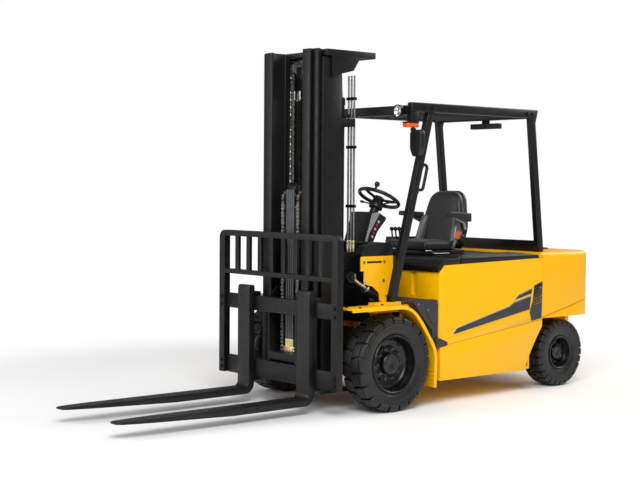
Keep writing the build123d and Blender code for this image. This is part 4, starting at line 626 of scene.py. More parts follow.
@dataclass(frozen=True)
class Moulding(Finish):
    """Injection-moulded plastic with an etched pebble grain, which breaks up its reflections."""

    def height_over(self, tree: Tree, place_in: Socket) -> Socket:
        """The etched pebbles, with the arguments and the result of Finish.height_over."""
        cells = add_node(tree, "ShaderNodeTexVoronoi", {"Vector": place_in, "Scale": per_metre(self.grain)},
                         feature="SMOOTH_F1")
        return cells.outputs["Distance"]


@dataclass(frozen=True)
class Lens(Finish):
    """Clear or tinted polycarbonate, which lets light through to what is behind it."""

    transmission: float = 0.9

    def extra(self, tree: Tree, place_in: Socket, shader: bpy.types.Node) -> None:
        """Lets light through."""
        shader.inputs["Transmission Weight"].default_value = self.transmission


@dataclass(frozen=True)
class Brushed(Finish):
    """Steel that was drawn or turned, with fine lines along one axis."""

    stretch: tuple[float, float, float] = (1.0, 1.0, 0.02)

    def height_over(self, tree: Tree, place_in: Socket) -> Socket:
        """The lines left by the tool, with the arguments and the result of Finish.height_over."""
        drawn = add_node(tree, "ShaderNodeMapping", {"Vector": place_in, "Scale": self.stretch})
        noise = add_node(tree, "ShaderNodeTexNoise", {
            "Vector": drawn.outputs["Vector"], "Scale": per_metre(self.grain), "Detail": 3.0})
        return noise.outputs["Fac"]


@dataclass(frozen=True)
class Braid(Finish):
    """Braided hose cover: two sets of strands that cross on the slant."""

    def height_over(self, tree: Tree, place_in: Socket) -> Socket:
        """The crossing strands, with the arguments and the result of Finish.height_over."""
        heights = []
        for lean in (1.0, -1.0):
            turned = add_node(tree, "ShaderNodeMapping", {
                "Vector": place_in, "Rotation": (lean * math.radians(45), 0.0, 0.0)})
            strands = add_node(tree, "ShaderNodeTexWave", {
                "Vector": turned.outputs["Vector"], "Scale": per_metre(self.grain) / 20, "Distortion": 0.0},
                bands_direction="Z")
            heights.append(strands.outputs["Fac"])
        both = add_node(tree, "ShaderNodeMath", {0: heights[0], 1: heights[1]}, operation="MAXIMUM")
        return both.outputs["Value"]


@dataclass(frozen=True)
class TyreRubber(Finish):
    """Black tyre rubber: matt, with dust left in the grooves between the lugs."""

    wheel: tuple[float, float, float] = (0.0, 0.0, 0.0)
    outer: float = 351.0
    groove: float = 18.0

    def colour_over(self, tree: Tree, place_in: Socket) -> Socket:
        """The rubber's colour, paler with dust deep in the grooves, as in Finish.colour_over."""
        centred = add_node(tree, "ShaderNodeMapping", {
            "Vector": place_in, "Location": tuple(-value for value in self.wheel)})
        flat = add_node(tree, "ShaderNodeVectorMath", {
            0: centred.outputs["Vector"], 1: (1.0, 0.0, 1.0)}, operation="MULTIPLY")
        radius = add_node(tree, "ShaderNodeVectorMath", {0: flat.outputs["Vector"]}, operation="LENGTH")
        depth = add_node(tree, "ShaderNodeMapRange", {
            "Value": radius.outputs["Value"], "From Min": (self.outer - self.groove) * MM,
            "From Max": (self.outer - 0.2 * self.groove) * MM, "To Min": 1.0, "To Max": 0.15})
        noise = add_node(tree, "ShaderNodeTexNoise", {
            "Vector": place_in, "Scale": per_metre(self.blotch), "Detail": 6.0, "Roughness": 0.65})
        patches = add_node(tree, "ShaderNodeMapRange", {
            "Value": noise.outputs["Fac"], "From Min": 0.35, "From Max": 0.75, "To Max": self.blotch_share})
        share = add_node(tree, "ShaderNodeMath", {
            0: depth.outputs["Result"], 1: patches.outputs["Result"]}, operation="MULTIPLY")
        mix = add_node(tree, "ShaderNodeMix",
                       {0: share.outputs["Value"], 6: linear(self.colour), 7: linear(self.blotch_colour)},
                       data_type="RGBA")
        return mix.outputs[2]


@dataclass(frozen=True)
class Webbing(Finish):
    """Woven polyester belt with ribs across it."""

    def height_over(self, tree: Tree, place_in: Socket) -> Socket:
        """The ribs of the weave, with the arguments and the result of Finish.height_over."""
        ribs = add_node(tree, "ShaderNodeTexWave",
                        {"Vector": place_in, "Scale": per_metre(self.grain) / 20, "Distortion": 0.4},
                        bands_direction="DIAGONAL")
        return ribs.outputs["Fac"]


# Two-pack enamel over steel: glossy, with the soft ripple of sprayed paint, drawn coarser than it is to show
BODY_PAINT = Finish("enamel_chrome_yellow", "#FFBE00", 0.34, ior=1.36, coat=0.1, coat_roughness=0.08,
                    grain=9.0, grain_depth=0.03, blotch=420.0, blotch_colour="#F9B600", blotch_share=0.35)
# The same enamel over a sand casting, whose skin shows through as shallow dimples
CAST_PAINT = Finish("enamel_on_casting", "#FFBB00", 0.38, ior=1.36, coat=0.08, coat_roughness=0.14,
                    grain=14.0, grain_depth=0.14, blotch=380.0, blotch_colour="#F7B300", blotch_share=0.4)
# Satin enamel on rolled steel, with the fine tooth of the rolled surface
SATIN_BLACK = Finish("satin_black_enamel", "#09090A", 0.46, ior=1.38, grain=5.0, grain_depth=0.04,
                     blotch=180.0, blotch_colour="#131315", blotch_share=0.6, polish=0.08)
# The same enamel on the forged forks, rubbed to a duller grey along the way
FORK_BLACK = Finish("forged_fork_enamel", "#0D0D0E", 0.44, ior=1.42, grain=7.0, grain_depth=0.08,
                    blotch=120.0, blotch_colour="#18181A", blotch_share=0.7, polish=0.1)
# Powder coat on the guard's tubes, with a slight orange peel
GUARD_BLACK = Finish("powder_coat_black", "#0C0C0D", 0.38, ior=1.42, grain=6.0, grain_depth=0.05,
                     blotch=240.0, blotch_colour="#121214", blotch_share=0.5)
# Black enamel on pressed wheel discs
WHEEL_BLACK = Finish("wheel_enamel", "#0B0B0C", 0.32, grain=6.0, grain_depth=0.03, blotch=90.0,
                     blotch_colour="#151517", blotch_share=0.6, polish=0.1)
# Phosphated wheel nuts, dark with bright corners
NUT_STEEL = Finish("phosphated_nut_steel", "#5A5A5D", 0.28, metallic=0.9, grain=4.0, grain_depth=0.03,
                   blotch=18.0, blotch_colour="#3A3A3D", blotch_share=0.6, polish=0.1)
# Glass-filled nylon of the steps and covers
STEP_PLASTIC = Moulding("moulded_nylon_grey", "#2C2C31", 0.5, ior=1.53, grain=3.2, grain_depth=0.22,
                        blotch=160.0, blotch_colour="#34343A", blotch_share=0.6)
# Smooth ABS of the hood and deck, with a soft shine
HOOD_PLASTIC = Moulding("smooth_abs_black", "#0B0B0C", 0.36, ior=1.5, grain=3.0, grain_depth=0.03,
                        blotch=220.0, blotch_colour="#121214", blotch_share=0.5)
# Grained ABS of the instrument pod and console
POD_PLASTIC = Moulding("grained_abs_charcoal", "#0E0E10", 0.4, ior=1.45, grain=2.6, grain_depth=0.05,
                       blotch=130.0, blotch_colour="#1A1A1E", blotch_share=0.5)
# Vinyl over foam, with a leather grain
SEAT_VINYL = Moulding("seat_vinyl_black", "#101012", 0.42, ior=1.5, sheen=0.15, grain=3.6, grain_depth=0.25,
                      blotch=110.0, blotch_colour="#18181A", blotch_share=0.5)
# Smoother vinyl of the bolsters, drawn mid grey as a painted highlight on the seat's dark vinyl
BOLSTER_PAINTED_HIGHLIGHT = Moulding("bolster_vinyl_painted_highlight", "#5C5C60", 0.32, ior=1.5, coat=0.2, grain=3.6,
                         grain_depth=0.15, blotch=110.0, blotch_colour="#68686C", blotch_share=0.5)
# Hard chrome on ground rods
ROD_CHROME = Brushed("hard_chrome", "#D6D8DA", 0.12, metallic=1.0, grain=1.6, grain_depth=0.004, polish=0.04,
                     stretch=(1.0, 1.0, 0.02))
# Oiled leaf chain, dark with wear on its plates
CHAIN_STEEL = Finish("oiled_chain_steel", "#A8A49C", 0.3, metallic=0.9, grain=2.0, grain_depth=0.04,
                     blotch=30.0, blotch_colour="#6C6862", blotch_share=0.6, polish=0.12)
# Bare machined steel of pins, pipes and nuts
BARE_STEEL = Brushed("machined_steel", "#A9ABAD", 0.3, metallic=1.0, grain=1.5, grain_depth=0.01, polish=0.08,
                     stretch=(1.0, 1.0, 0.2))
# Zinc plate with a yellow passivate
ZINC_YELLOW = Finish("yellow_zinc_plate", "#E4D89C", 0.3, metallic=0.75, grain=3.0, grain_depth=0.02,
                     blotch=22.0, blotch_colour="#CDB8A0", blotch_share=0.35, polish=0.1)
# Wire-braided hydraulic hose
HOSE_BRAID = Braid("braided_hose", "#56595D", 0.42, metallic=0.4, grain=3.0, grain_depth=0.35, blotch=60.0,
                   blotch_colour="#3C3F43", blotch_share=0.5)
# Plain black hose rubber
HOSE_RUBBER = Finish("hose_rubber", "#151516", 0.55, grain=2.5, grain_depth=0.05, blotch=60.0,
                     blotch_colour="#242426", blotch_share=0.6)
# Brushed aluminium trim
TRIM_SILVER = Brushed("satin_aluminium", "#C9CBCE", 0.26, metallic=0.9, grain=1.2, grain_depth=0.01,
                      stretch=(0.05, 1.0, 1.0))
# Cast film on the flanks, matt charcoal
FILM_CHARCOAL = Finish("cast_film_charcoal", "#2F3034", 0.36, grain=5.0, grain_depth=0.01, blotch=160.0,
                       blotch_colour="#3A3B40", blotch_share=0.6)
# Clear moulded covers, which show what is behind them
LENS_CLEAR = Lens("clear_polycarbonate", "#F4F6F8", 0.05, ior=1.58, grain=6.0, grain_depth=0.02, polish=0.02,
                  blotch_colour="#ECEFF2")
# Vapour-plated reflector dishes, mirror bright
LAMP_CHROME = Finish("vapour_chrome", "#E4E6E8", 0.1, metallic=1.0, grain=9.0, grain_depth=0.05, polish=0.03,
                     blotch_colour="#D8DADD")
# Amber and red lenses, deep in colour and slightly pebbled
LENS_AMBER = Lens("amber_polycarbonate", "#FF6A12", 0.14, ior=1.58, grain=5.0, grain_depth=0.15, polish=0.03,
                  blotch_colour="#E8560A", transmission=0.25)
LENS_RED = Lens("red_polycarbonate", "#C4161C", 0.16, ior=1.58, grain=5.0, grain_depth=0.15, polish=0.03,
                blotch_colour="#A80F14", transmission=0.2)
# Silvered mirror glass, flat and bright
MIRROR_GLASS = Finish("silvered_glass", "#DCE2E6", 0.04, metallic=1.0, grain=40.0, grain_depth=0.01,
                      polish=0.02, blotch_colour="#D2D9DE")
# Orange woven belt and its buckle, ribbed and matt
BELT_ORANGE = Webbing("belt_webbing_orange", "#E2571E", 0.6, sheen=0.3, grain=2.4, grain_depth=0.3,
                      blotch=30.0, blotch_colour="#C74812", blotch_share=0.5)
# Red phenolic knobs and keys, smooth from the mould
KNOB_RED = Moulding("knob_phenolic_red", "#B3271E", 0.32, grain=2.5, grain_depth=0.02, blotch=30.0,
                    blotch_colour="#8F1D16", blotch_share=0.5)
# Dark display glass with a sharp reflection
SCREEN_GLASS = Finish("display_glass", "#0B0D12", 0.08, ior=1.52, coat=0.5, coat_roughness=0.03, grain=60.0,
                      grain_depth=0.01, polish=0.02, blotch_colour="#10141C", blotch_share=0.5)
# Pale printed keys and collars, satin
KEY_PALE = Moulding("printed_key", "#B9BCC0", 0.4, grain=2.0, grain_depth=0.04, blotch=12.0,
                    blotch_colour="#A3A6AA", blotch_share=0.5)
# Blue-grey enamel on the battery's steel case
BATTERY_CASE = Finish("battery_steel_enamel", "#3B4450", 0.45, grain=6.0, grain_depth=0.06, blotch=200.0,
                      blotch_colour="#46505C", blotch_share=0.5)


def dress(piece: Piece, finish: Finish, body: str, slot: str, *nodes: str) -> Piece:
    """Gives a piece its finish and its body, and hides the CAD nodes that it replaces.

    Args:
        piece: The finished mesh.
        finish: Its surface.
        body: The body that carries it.
        slot: The record's material slot, which is not used here.
        nodes: The CAD nodes that it replaces.

    Returns:
        The same piece.
    """
    piece.data.materials.clear()
    piece.data.materials.append(finish.material())
    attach(piece, body)
    if nodes:
        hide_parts(*nodes)
    LOG.info("%s on %s: %d faces", piece.name, body, len(piece.data.polygons))
    return piece


def dress_pair(name: str, pieces: Sequence[Piece], finish: Finish, body: str, slot: str,
               *nodes: str) -> Piece:
    """Joins pieces of the left side, adds their mirror image and dresses the whole.

    Args:
        name: The whole piece's name.
        pieces: The meshes of the left side.
        finish: Its surface.
        body: The body that carries it.
        slot: The record's material slot.
        nodes: The CAD nodes that it replaces.

    Returns:
        The whole piece.
    """
    return dress(Bench.both_sides(name, Bench.join(name, pieces)), finish, body, slot, *nodes)


def coat_node(node: str, finish: Finish) -> None:
    """Gives a CAD node that stays a finish of its own."""
    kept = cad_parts[node]
    kept.data.materials.clear()
    kept.data.materials.append(finish.material())


def refined(node: str, name: str, width: float, segments: int, finish: Finish, body: str, slot: str) -> Piece:
    """A copy of a CAD node with its edges rounded, dressed in the node's stead.

    Args:
        node: The node's name.
        name: The new piece's name.
        width: The size of the rounds in millimetres.
        segments: How many faces draw them.
        finish: The piece's surface.
        body: The body that carries it.
        slot: The record's material slot.

    Returns:
        The new piece.
    """
    piece = Bench.soften(Bench.carbon(node, name), width, segments)
    return dress(piece, finish, body, slot, node)


def hex_bolt(name: str, seat: Vector, axis: Vector, size: float) -> Piece:
    """A hexagon head on its washer.

    Args:
        name: The piece's name.
        seat: Where it sits, in metres.
        axis: The way it points.
        size: The radius over its corners, in millimetres.

    Returns:
        The bolt's head.
    """
    washer = Bench.bar("washer", seat, seat + axis * 2.5 * MM, 1.35 * size, 24)
    head = Bench.bar("head", seat + axis * 2 * MM, seat + axis * (2 + 0.75 * size) * MM, size, 6)
    Bench.soften(head, 0.12 * size, 2)
    return Bench.join(name, [Bench.shade(washer), head])


def bolt_heads(name: str, spots: Sequence[tuple[float, float, float]], axis: Vector, size: float,
               finish: Finish, body: str, slot: str) -> None:
    """Bolt heads on both sides of the truck, as one piece.

    Args:
        name: The piece's name.
        spots: Where the heads sit on the left side, in millimetres as for place.
        axis: The way they point.
        size: The radius over their corners, in millimetres.
        finish: Their surface.
        body: The body that carries them.
        slot: The record's material slot.
    """
    heads = [hex_bolt("bolt", place(*spot), axis, size) for spot in spots]
    dress_pair(name, heads, finish, body, slot)


@dataclass
class Tread:
    """The carcass and lugs of one kind of tyre, with sections drawn as (radius, along the axle)."""

    outer: float
    width: float
    rim: float
    lugs: int
    groove: float
    share: float
    slant: float
    ribs: tuple[float, ...]

    def carcass(self, name: str, middle: Vector) -> Piece:
        """The tyre under its lugs.

        Args:
            name: The piece's name.
            middle: The wheel's middle.

        Returns:
            The carcass.
        """
        half = self.width / 2
        wall = self.outer - self.rim
        base = self.outer - self.groove
        side = [(self.rim, 0.78 * half), (self.rim + 6, 0.8 * half), (self.rim + 13, 0.78 * half),
                (self.rim + 0.14 * wall, 0.83 * half), (self.rim + 0.22 * wall, 0.9 * half),
                (self.rim + 0.34 * wall, 0.955 * half), (self.rim + 0.47 * wall, 0.975 * half),
                (self.rim + 0.58 * wall, 0.97 * half), (self.rim + 0.61 * wall, 0.985 * half),
                (self.rim + 0.64 * wall, 0.965 * half), (base - 0.1 * wall, 0.93 * half),
                (base - 0.03 * wall, 0.86 * half), (base, 0.7 * half)]
        profile = side + [(radius, -along) for radius, along in reversed(side)]
        piece = Bench.spun(name, profile, middle, LEFT, steps=120)
        return Bench.shade(piece, 40)

    def lug(self, name: str, middle: Vector) -> Piece:
        """One lug on the left half of the tread, with ribs cut along it.

        Args:
            name: The piece's name.
            middle: The wheel's middle.

        Returns:
            The lug.
        """
        half = self.width / 2
        wall = self.outer - self.rim
        crown: list[Point] = [(self.outer - 0.5, 4.0)]
        for rib in self.ribs:
            crown += [(self.outer, rib - 2.6), (self.outer - 5, rib - 1), (self.outer - 5, rib + 1),
                      (self.outer, rib + 2.6)]
        notch = 0.67 * half
        crown += [
            (self.outer - 0.3, notch - 4), (self.outer - 12, notch - 1.5), (self.outer - 12, notch + 2.5),
            (self.outer - 1.5, notch + 5), (self.outer - 0.04 * wall, 0.87 * half),
            (self.outer - 0.13 * wall, 0.975 * half), (self.outer - 0.2 * wall, half),
            (self.outer - 0.3 * wall, 0.995 * half), (self.outer - 0.34 * wall, 0.93 * half)]
        root = [(self.outer - self.groove - 6, 0.6 * half), (self.outer - self.groove - 6, 5.0)]
        pitch = 2 * math.pi / self.lugs
        piece = Bench.spun(name, crown + root, middle, LEFT, steps=4, angle=self.share * pitch)
        for vertex in piece.data.vertices:
            along = (vertex.co.y - middle.y) / (half * MM)
            lean = self.slant * pitch * (1 - min(1.0, along / 0.6))
            vertex.co = about(middle, LEFT, lean) @ vertex.co
        return Bench.soften(piece, 1.6, segments=1, angle=35)

    def tyre(self, name: str, middle: Vector, start: float) -> Piece:
        """The whole tyre with its two staggered rows of lugs.

        Args:
            name: The piece's name.
            middle: The wheel's middle.
            start: Where the first lug stands, as a share of the pitch.

        Returns:
            The tyre.
        """
        pitch = 2 * math.pi / self.lugs
        axis = LEFT
        flip = Matrix.Translation(middle) @ Matrix.Scale(-1, 4, axis) @ Matrix.Translation(-middle)
        moves = []
        for index in range(self.lugs):
            turn = about(middle, axis, (index + start) * pitch)
            moves.append(turn)
            moves.append(about(middle, axis, 0.5 * pitch) @ turn @ flip)
        rows = Bench.repeat(name, self.lug(name, middle), moves)
        return Bench.join(name, [self.carcass(name, middle), rows])


@dataclass
class WheelKind:
    """One kind of wheel: its tread and its pressed, dished rim with hub and nuts."""

    tread: Tread
    hub: float
    hub_out: float
    disc_in: float
    nuts: int
    nut_circle: float
    nut: float

    def rim_profile(self) -> list[Point]:
        """The rim's section for the left side, from its outer lip round to its inner lip."""
        edge = 0.78 * self.tread.width / 2
        rim = self.tread.rim
        disc = self.disc_in
        return [(rim + 10, edge + 8), (rim + 7, edge + 11), (rim + 1, edge + 11), (rim - 4, edge + 7),
                (rim - 7, edge - 4), (rim - 9, edge - 22), (rim - 15, edge - 34), (rim - 19, 0.45 * edge),
                (rim - 21, disc + 26), (rim - 30, disc + 12), (rim - 46, disc + 4),
                (self.hub + 46, disc + 2), (self.hub + 36, disc + 8), (self.hub + 3, disc + 8),
                (self.hub, disc + 10), (self.hub - 1, self.hub_out - 5), (self.hub - 6, self.hub_out),
                (0.42 * self.hub, self.hub_out + 1), (0.4 * self.hub, self.hub_out - 2),
                (ON_AXIS, self.hub_out - 2), (ON_AXIS, disc - 8), (self.hub + 40, disc - 8),
                (rim - 30, disc - 2), (rim - 30, -edge), (rim + 4, -edge - 11), (rim + 10, -edge - 8),
                (rim + 10, -edge), (rim, -edge), (rim, edge), (rim + 10, edge)]

    def rim_piece(self, name: str, middle: Vector) -> Piece:
        """The rim for the left side.

        Args:
            name: The piece's name.
            middle: The wheel's middle.

        Returns:
            The rim.
        """
        return Bench.soften(Bench.spun(name, self.rim_profile(), middle, LEFT, steps=96), 2.0, segments=2,
                            angle=40)

    def nut_piece(self, name: str, middle: Vector) -> Piece:
        """The ring of wheel nuts, each a hexagon on a domed collar with its stud.

        Args:
            name: The piece's name.
            middle: The wheel's middle.

        Returns:
            All the nuts.
        """
        axis = LEFT
        seat = middle + Vector((self.nut_circle * MM, (self.disc_in + 7) * MM, 0))
        collar = Bench.spun("collar",
                            [(1.35 * self.nut, 0), (1.25 * self.nut, 5), (0.9 * self.nut, 8), (ON_AXIS, 8),
                             (ON_AXIS, 0)], seat, axis, 24)
        hexagon = Bench.bar("hexagon", seat + axis * 6 * MM, seat + axis * 24 * MM, self.nut, 6)
        Bench.soften(hexagon, 1.4, 2)
        stud = Bench.bar("stud", seat, seat + axis * 32 * MM, 0.55 * self.nut, 16)
        Bench.soften(stud, 1.5, 2)
        one = Bench.shade(Bench.join("nut", [collar, hexagon, stud]))
        turns = [about(middle, axis, 2 * math.pi * index / self.nuts) for index in range(self.nuts)]
        return Bench.repeat(name, one, turns)


@dataclass
class Wheels:
    """The four wheels: lugged tyres on dished rims."""

    front: WheelKind
    rear: WheelKind

    def build(self) -> None:
        """Models one wheel of each kind and copies it to the other side."""
        for end, kind in (("front", self.front), ("rear", self.rear)):
            low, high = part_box("rim_%s_left" % end)
            middle = (low + high) / 2
            tyre = kind.tread.tyre("lugged_tyre_%s_left" % end, middle, 0.25)
            rim = kind.rim_piece("dished_rim_%s_left" % end, middle)
            nuts = kind.nut_piece("wheel_nuts_%s_left" % end, middle)
            valve = Bench.tube("valve_%s_left" % end, [
                middle + Vector((-0.5 * kind.tread.rim, kind.disc_in + 6, 0.62 * kind.tread.rim)) * MM,
                middle + Vector((-0.5 * kind.tread.rim, kind.disc_in + 40, 0.62 * kind.tread.rim)) * MM,
                middle + Vector((-0.48 * kind.tread.rim, kind.disc_in + 58, 0.6 * kind.tread.rim)) * MM], 4)
            self.dress_side(end, "left", middle, tyre, rim, nuts, valve)
            across = Vector((middle.x, -middle.y, middle.z))
            twins = [Bench.mirrored(piece, piece.name.replace("left", "right"))
                     for piece in (tyre, rim, nuts, valve)]
            self.dress_side(end, "right", across, *twins)

    def dress_side(self, end: str, side: str, middle: Vector, tyre: Piece, rim: Piece,
                   nuts: Piece, valve: Piece) -> None:
        """Dresses one wheel.

        Args:
            end: Front or rear.
            side: Left or right.
            middle: The wheel's middle.
            tyre: The tyre's mesh.
            rim: The rim's mesh.
            nuts: The nuts' mesh.
            valve: The valve's mesh.
        """
        body = "wheel_%s_%s" % (end, side)
        tread = (self.front if end == "front" else self.rear).tread
        rubber = TyreRubber("tyre_rubber_%s_%s" % (end, side), "#0B0B0C", 0.44, grain=3.0, grain_depth=0.16,
                            blotch=70.0, blotch_colour="#3B3936", blotch_share=0.3, polish=0.08,
                            wheel=tuple(middle), outer=tread.outer, groove=tread.groove)
        dress(tyre, rubber, body, "tyre", "tyre_%s_%s" % (end, side))
        dress(rim, WHEEL_BLACK, body, "rim_black", "rim_%s_%s" % (end, side))
        dress(nuts, NUT_STEEL, body, "rim_black")
        dress(valve, HOSE_RUBBER, body, "rim_black")


@dataclass(frozen=True)
class LeafChain:
    """A leaf chain made of oval plates on pins, hung straight up and down."""

    pitch: float = 28.0
    plate: float = 3.6
    height: float = 19.0
    width: float = 30.0

    def oval(self, y: float, z: float, x: float) -> Piece:
        """One plate over two pins.

        Args:
            y: Where its middle lies across the truck.
            z: The height of its lower pin.
            x: Where the chain runs along the truck.

        Returns:
            The plate.
        """
        half = self.height / 2
        ends = [(half * math.cos(math.radians(turn)), half * math.sin(math.radians(turn)))
                for turn in (10, 50, 90, 130, 170)]
        top = [(x + a, z + self.pitch + b - 1) for a, b in ends]
        waist = [(x - 0.72 * half, z + 0.5 * self.pitch)]
        bottom = [(x - a, z - b + 1) for a, b in ends]
        outline = top + waist + bottom + [(x + 0.72 * half, z + 0.5 * self.pitch)]
        return Bench.plate("plate", View.SIDE, outline, y - self.plate / 2, y + self.plate / 2)

    def run(self, name: str, x: float, y: float, low: float, high: float) -> Piece:
        """A straight run of chain.

        Args:
            name: The piece's name.
            x: Where it runs along the truck.
            y: The middle of its width.
            low: Its lower end.
            high: Its upper end.

        Returns:
            The run.
        """
        start = low + self.height / 2
        pieces = [self.oval(y + offset, start, x) for offset in (-12.5, -4.2, 4.2, 12.5)]
        pieces += [self.oval(y + offset, start + self.pitch, x) for offset in (-8.3, 0.0, 8.3)]
        for step in (0, 1):
            level = start + step * self.pitch
            pieces.append(Bench.bar("pin", place(x, y - self.width / 2, level),
                                    place(x, y + self.width / 2, level), 4.2, 8))
        pair = Bench.join("links", pieces)
        count = int((high - low - self.height) / (2 * self.pitch))
        return Bench.repeat(name, pair, [shift(0, 0, 2 * self.pitch * index) for index in range(count)])

    def bend(self, name: str, x: float, y: float, z: float, radius: float) -> Piece:
        """The links over the top of a pulley.

        Args:
            name: The piece's name.
            x: The pulley's middle along the truck.
            y: The middle of the chain's width.
            z: The pulley's middle height.
            radius: The radius at the pins.

        Returns:
            The bend.
        """
        links = max(3, round(math.pi * radius / self.pitch))
        middle = place(x, y, z)
        pieces = []
        for index in range(links):
            offsets = (-12.5, -4.2, 4.2, 12.5) if index % 2 else (-8.3, 0.0, 8.3)
            link = Bench.join("link",
                              [self.oval(y + offset, z - self.pitch / 2, x + radius) for offset in offsets])
            turn = about(middle, Vector((0, -1, 0)), math.pi * (index + 0.5) / links)
            pieces.append(Bench.copy(link, "link", turn))
            bpy.data.objects.remove(link)
        return Bench.join(name, pieces)


@dataclass
class Mast:
    """The three nested stages with their cylinders, chains, hoses and pipes."""

    half_width: float = 342.0
    lift_x: float = 155.0
    lift_y: float = 250.0
    lift_radius: float = 36.0
    lift_top: float = 2300.0
    free_x: float = 355.0
    free_radius: float = 46.0
    free_top: float = 1500.0
    crosshead_z: float = 1620.0
    chain_z: float = 1550.0
    chain_y: float = 90.0
    chain_radius: float = 50.0
    chain_anchor: float = 400.0
    manifold_top: float = 444.0
    port_gap: float = 26.0
    chain_foot: float = 290.0
    hose_radius: float = 9.0
    hose_pitch: float = 24.0
    hose_pulley: float = 54.0
    hoses: int = 4
    main_x: float = 252.0
    main_y: float = 132.0
    main_z: float = 2530.0
    main_radius: float = 38.0
    main_anchor: float = 590.0
    chain_half: float = 10.0
    free_travel: float = 700.0
    lift_travel: float = 1600.0
    chain: LeafChain = LeafChain()

    def build(self) -> None:
        """Models the whole mast."""
        self.stages()
        self.lift_cylinders()
        self.free_lift()
        self.free_chains()
        self.free_hoses()
        self.main_chains()
        self.pipes()
        self.fasteners()

    def stages(self) -> None:
        """The rails with their rounded edges."""
        for node in ("outer_mast", "middle_mast", "inner_mast"):
            refined(node, "rolled_" + node, 3.0, 2, SATIN_BLACK, node, "black_paint")

    def lift_cylinders(self) -> None:
        """Barrels with their gland nuts, and the chromed rods."""
        refined("lift_barrels", "lift_cylinder_barrels", 2.0, 2, SATIN_BLACK, "outer_mast", "black_paint")
        coat_node("lift_rods", ROD_CHROME)
        gland = Bench.spun("gland",
                           [(25, 0), (self.lift_radius + 1, 0), (self.lift_radius + 1, 8),
                            (self.lift_radius - 4, 12), (27, 12), (25, 9)],
                           place(self.lift_x, self.lift_y, self.lift_top), UP, 40)
        glands = Bench.both_sides("lift_gland_nuts", Bench.soften(gland, 1.0, 2))
        dress(glands, BARE_STEEL, "outer_mast", "chain_steel")

    def free_lift(self) -> None:
        """The free-lift barrel, its rod and the crosshead with its pulleys."""
        refined("free_lift_barrel", "free_lift_cylinder", 2.0, 2, SATIN_BLACK, "inner_mast", "black_paint")
        refined("crosshead", "crosshead_yoke", 2.5, 2, SATIN_BLACK, "crosshead", "black_paint")
        middle = place(self.free_x, self.chain_y, self.chain_z)
        edge = self.chain_radius + 13
        flange = Bench.spun("flange", [(26, 15.2), (edge, 15.2), (edge, 18.5), (44, 21), (26, 21)], middle,
                            LEFT, 48)
        cap = Bench.spun("cap", [(ON_AXIS, 21), (20, 21), (20, 27), (17, 30), (ON_AXIS, 30)], middle, LEFT,
                         32)
        outer = Bench.soften(Bench.join("pulley_flanges", [flange, cap]), 1.0, 2)
        dress_pair("chain_pulley_flanges", [outer], SATIN_BLACK, "crosshead", "black_paint")
        collar = Bench.spun("collar",
                            [(29, 0), (self.free_radius + 2, 0), (self.free_radius + 2, 9),
                             (self.free_radius - 6, 14), (31, 14), (29, 10)],
                            place(self.free_x, 0, self.free_top - 14), UP, 40)
        dress(Bench.soften(collar, 1.0, 2), BARE_STEEL, "inner_mast", "chain_steel")

    def loops(self, name: str, x: float, y: float, top: float, radius: float, feet: Span,
              bodies: tuple[str, str], node: str) -> None:
        """A pair of chains over their pulleys: front runs, bends, rear runs and the tails that stay below.

        Args:
            name: The start of the pieces' names.
            x: The pulleys' middle along the truck.
            y: The left pulley's middle across the truck.
            top: The pulleys' height.
            radius: The radius at the chain's pins.
            feet: The lower ends of the front and the rear run.
            bodies: The body that carries the pulleys and the one that holds the tails.
            node: The CAD node that the chains stand for.
        """
        front = Bench.both_sides(name + "_front_runs", self.chain.run("front", x + radius, y, feet[0], top))
        bend = Bench.both_sides(name + "_bends", self.chain.bend("bend", x, y, top, radius))
        rear = Bench.both_sides(name + "_rear_runs", self.chain.run("rear", x - radius, y, feet[1], top))
        tail = Bench.copy(rear, name + "_rear_tails", Matrix.Identity(4))
        dress(front, CHAIN_STEEL, bodies[0], "chain_steel")
        dress(bend, CHAIN_STEEL, bodies[0], "chain_steel", node)
        dress(rear, CHAIN_STEEL, bodies[0], "chain_steel")
        dress(tail, CHAIN_STEEL, bodies[1], "chain_steel")
        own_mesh(front)

    def free_chains(self) -> None:
        """The leaf chains from the carriage over the crosshead to the inner mast."""
        self.loops("leaf_chain", self.free_x, self.chain_y, self.chain_z, self.chain_radius + self.chain_half,
                   (self.chain_anchor, self.chain_foot), ("crosshead", "inner_mast"), "free_lift_chains")

    def hose_line(self, y: float, x: float, low: float, radius: float) -> Piece:
        """A straight length of hose up to the crosshead, open at its ends.

        Args:
            y: Where it runs across the truck.
            x: Where it runs along the truck.
            low: Its lower end.
            radius: Its radius.

        Returns:
            The hose.
        """
        return Bench.bar("hose", place(x, y, low), place(x, y, self.crosshead_z), radius, 16, "NOTHING")

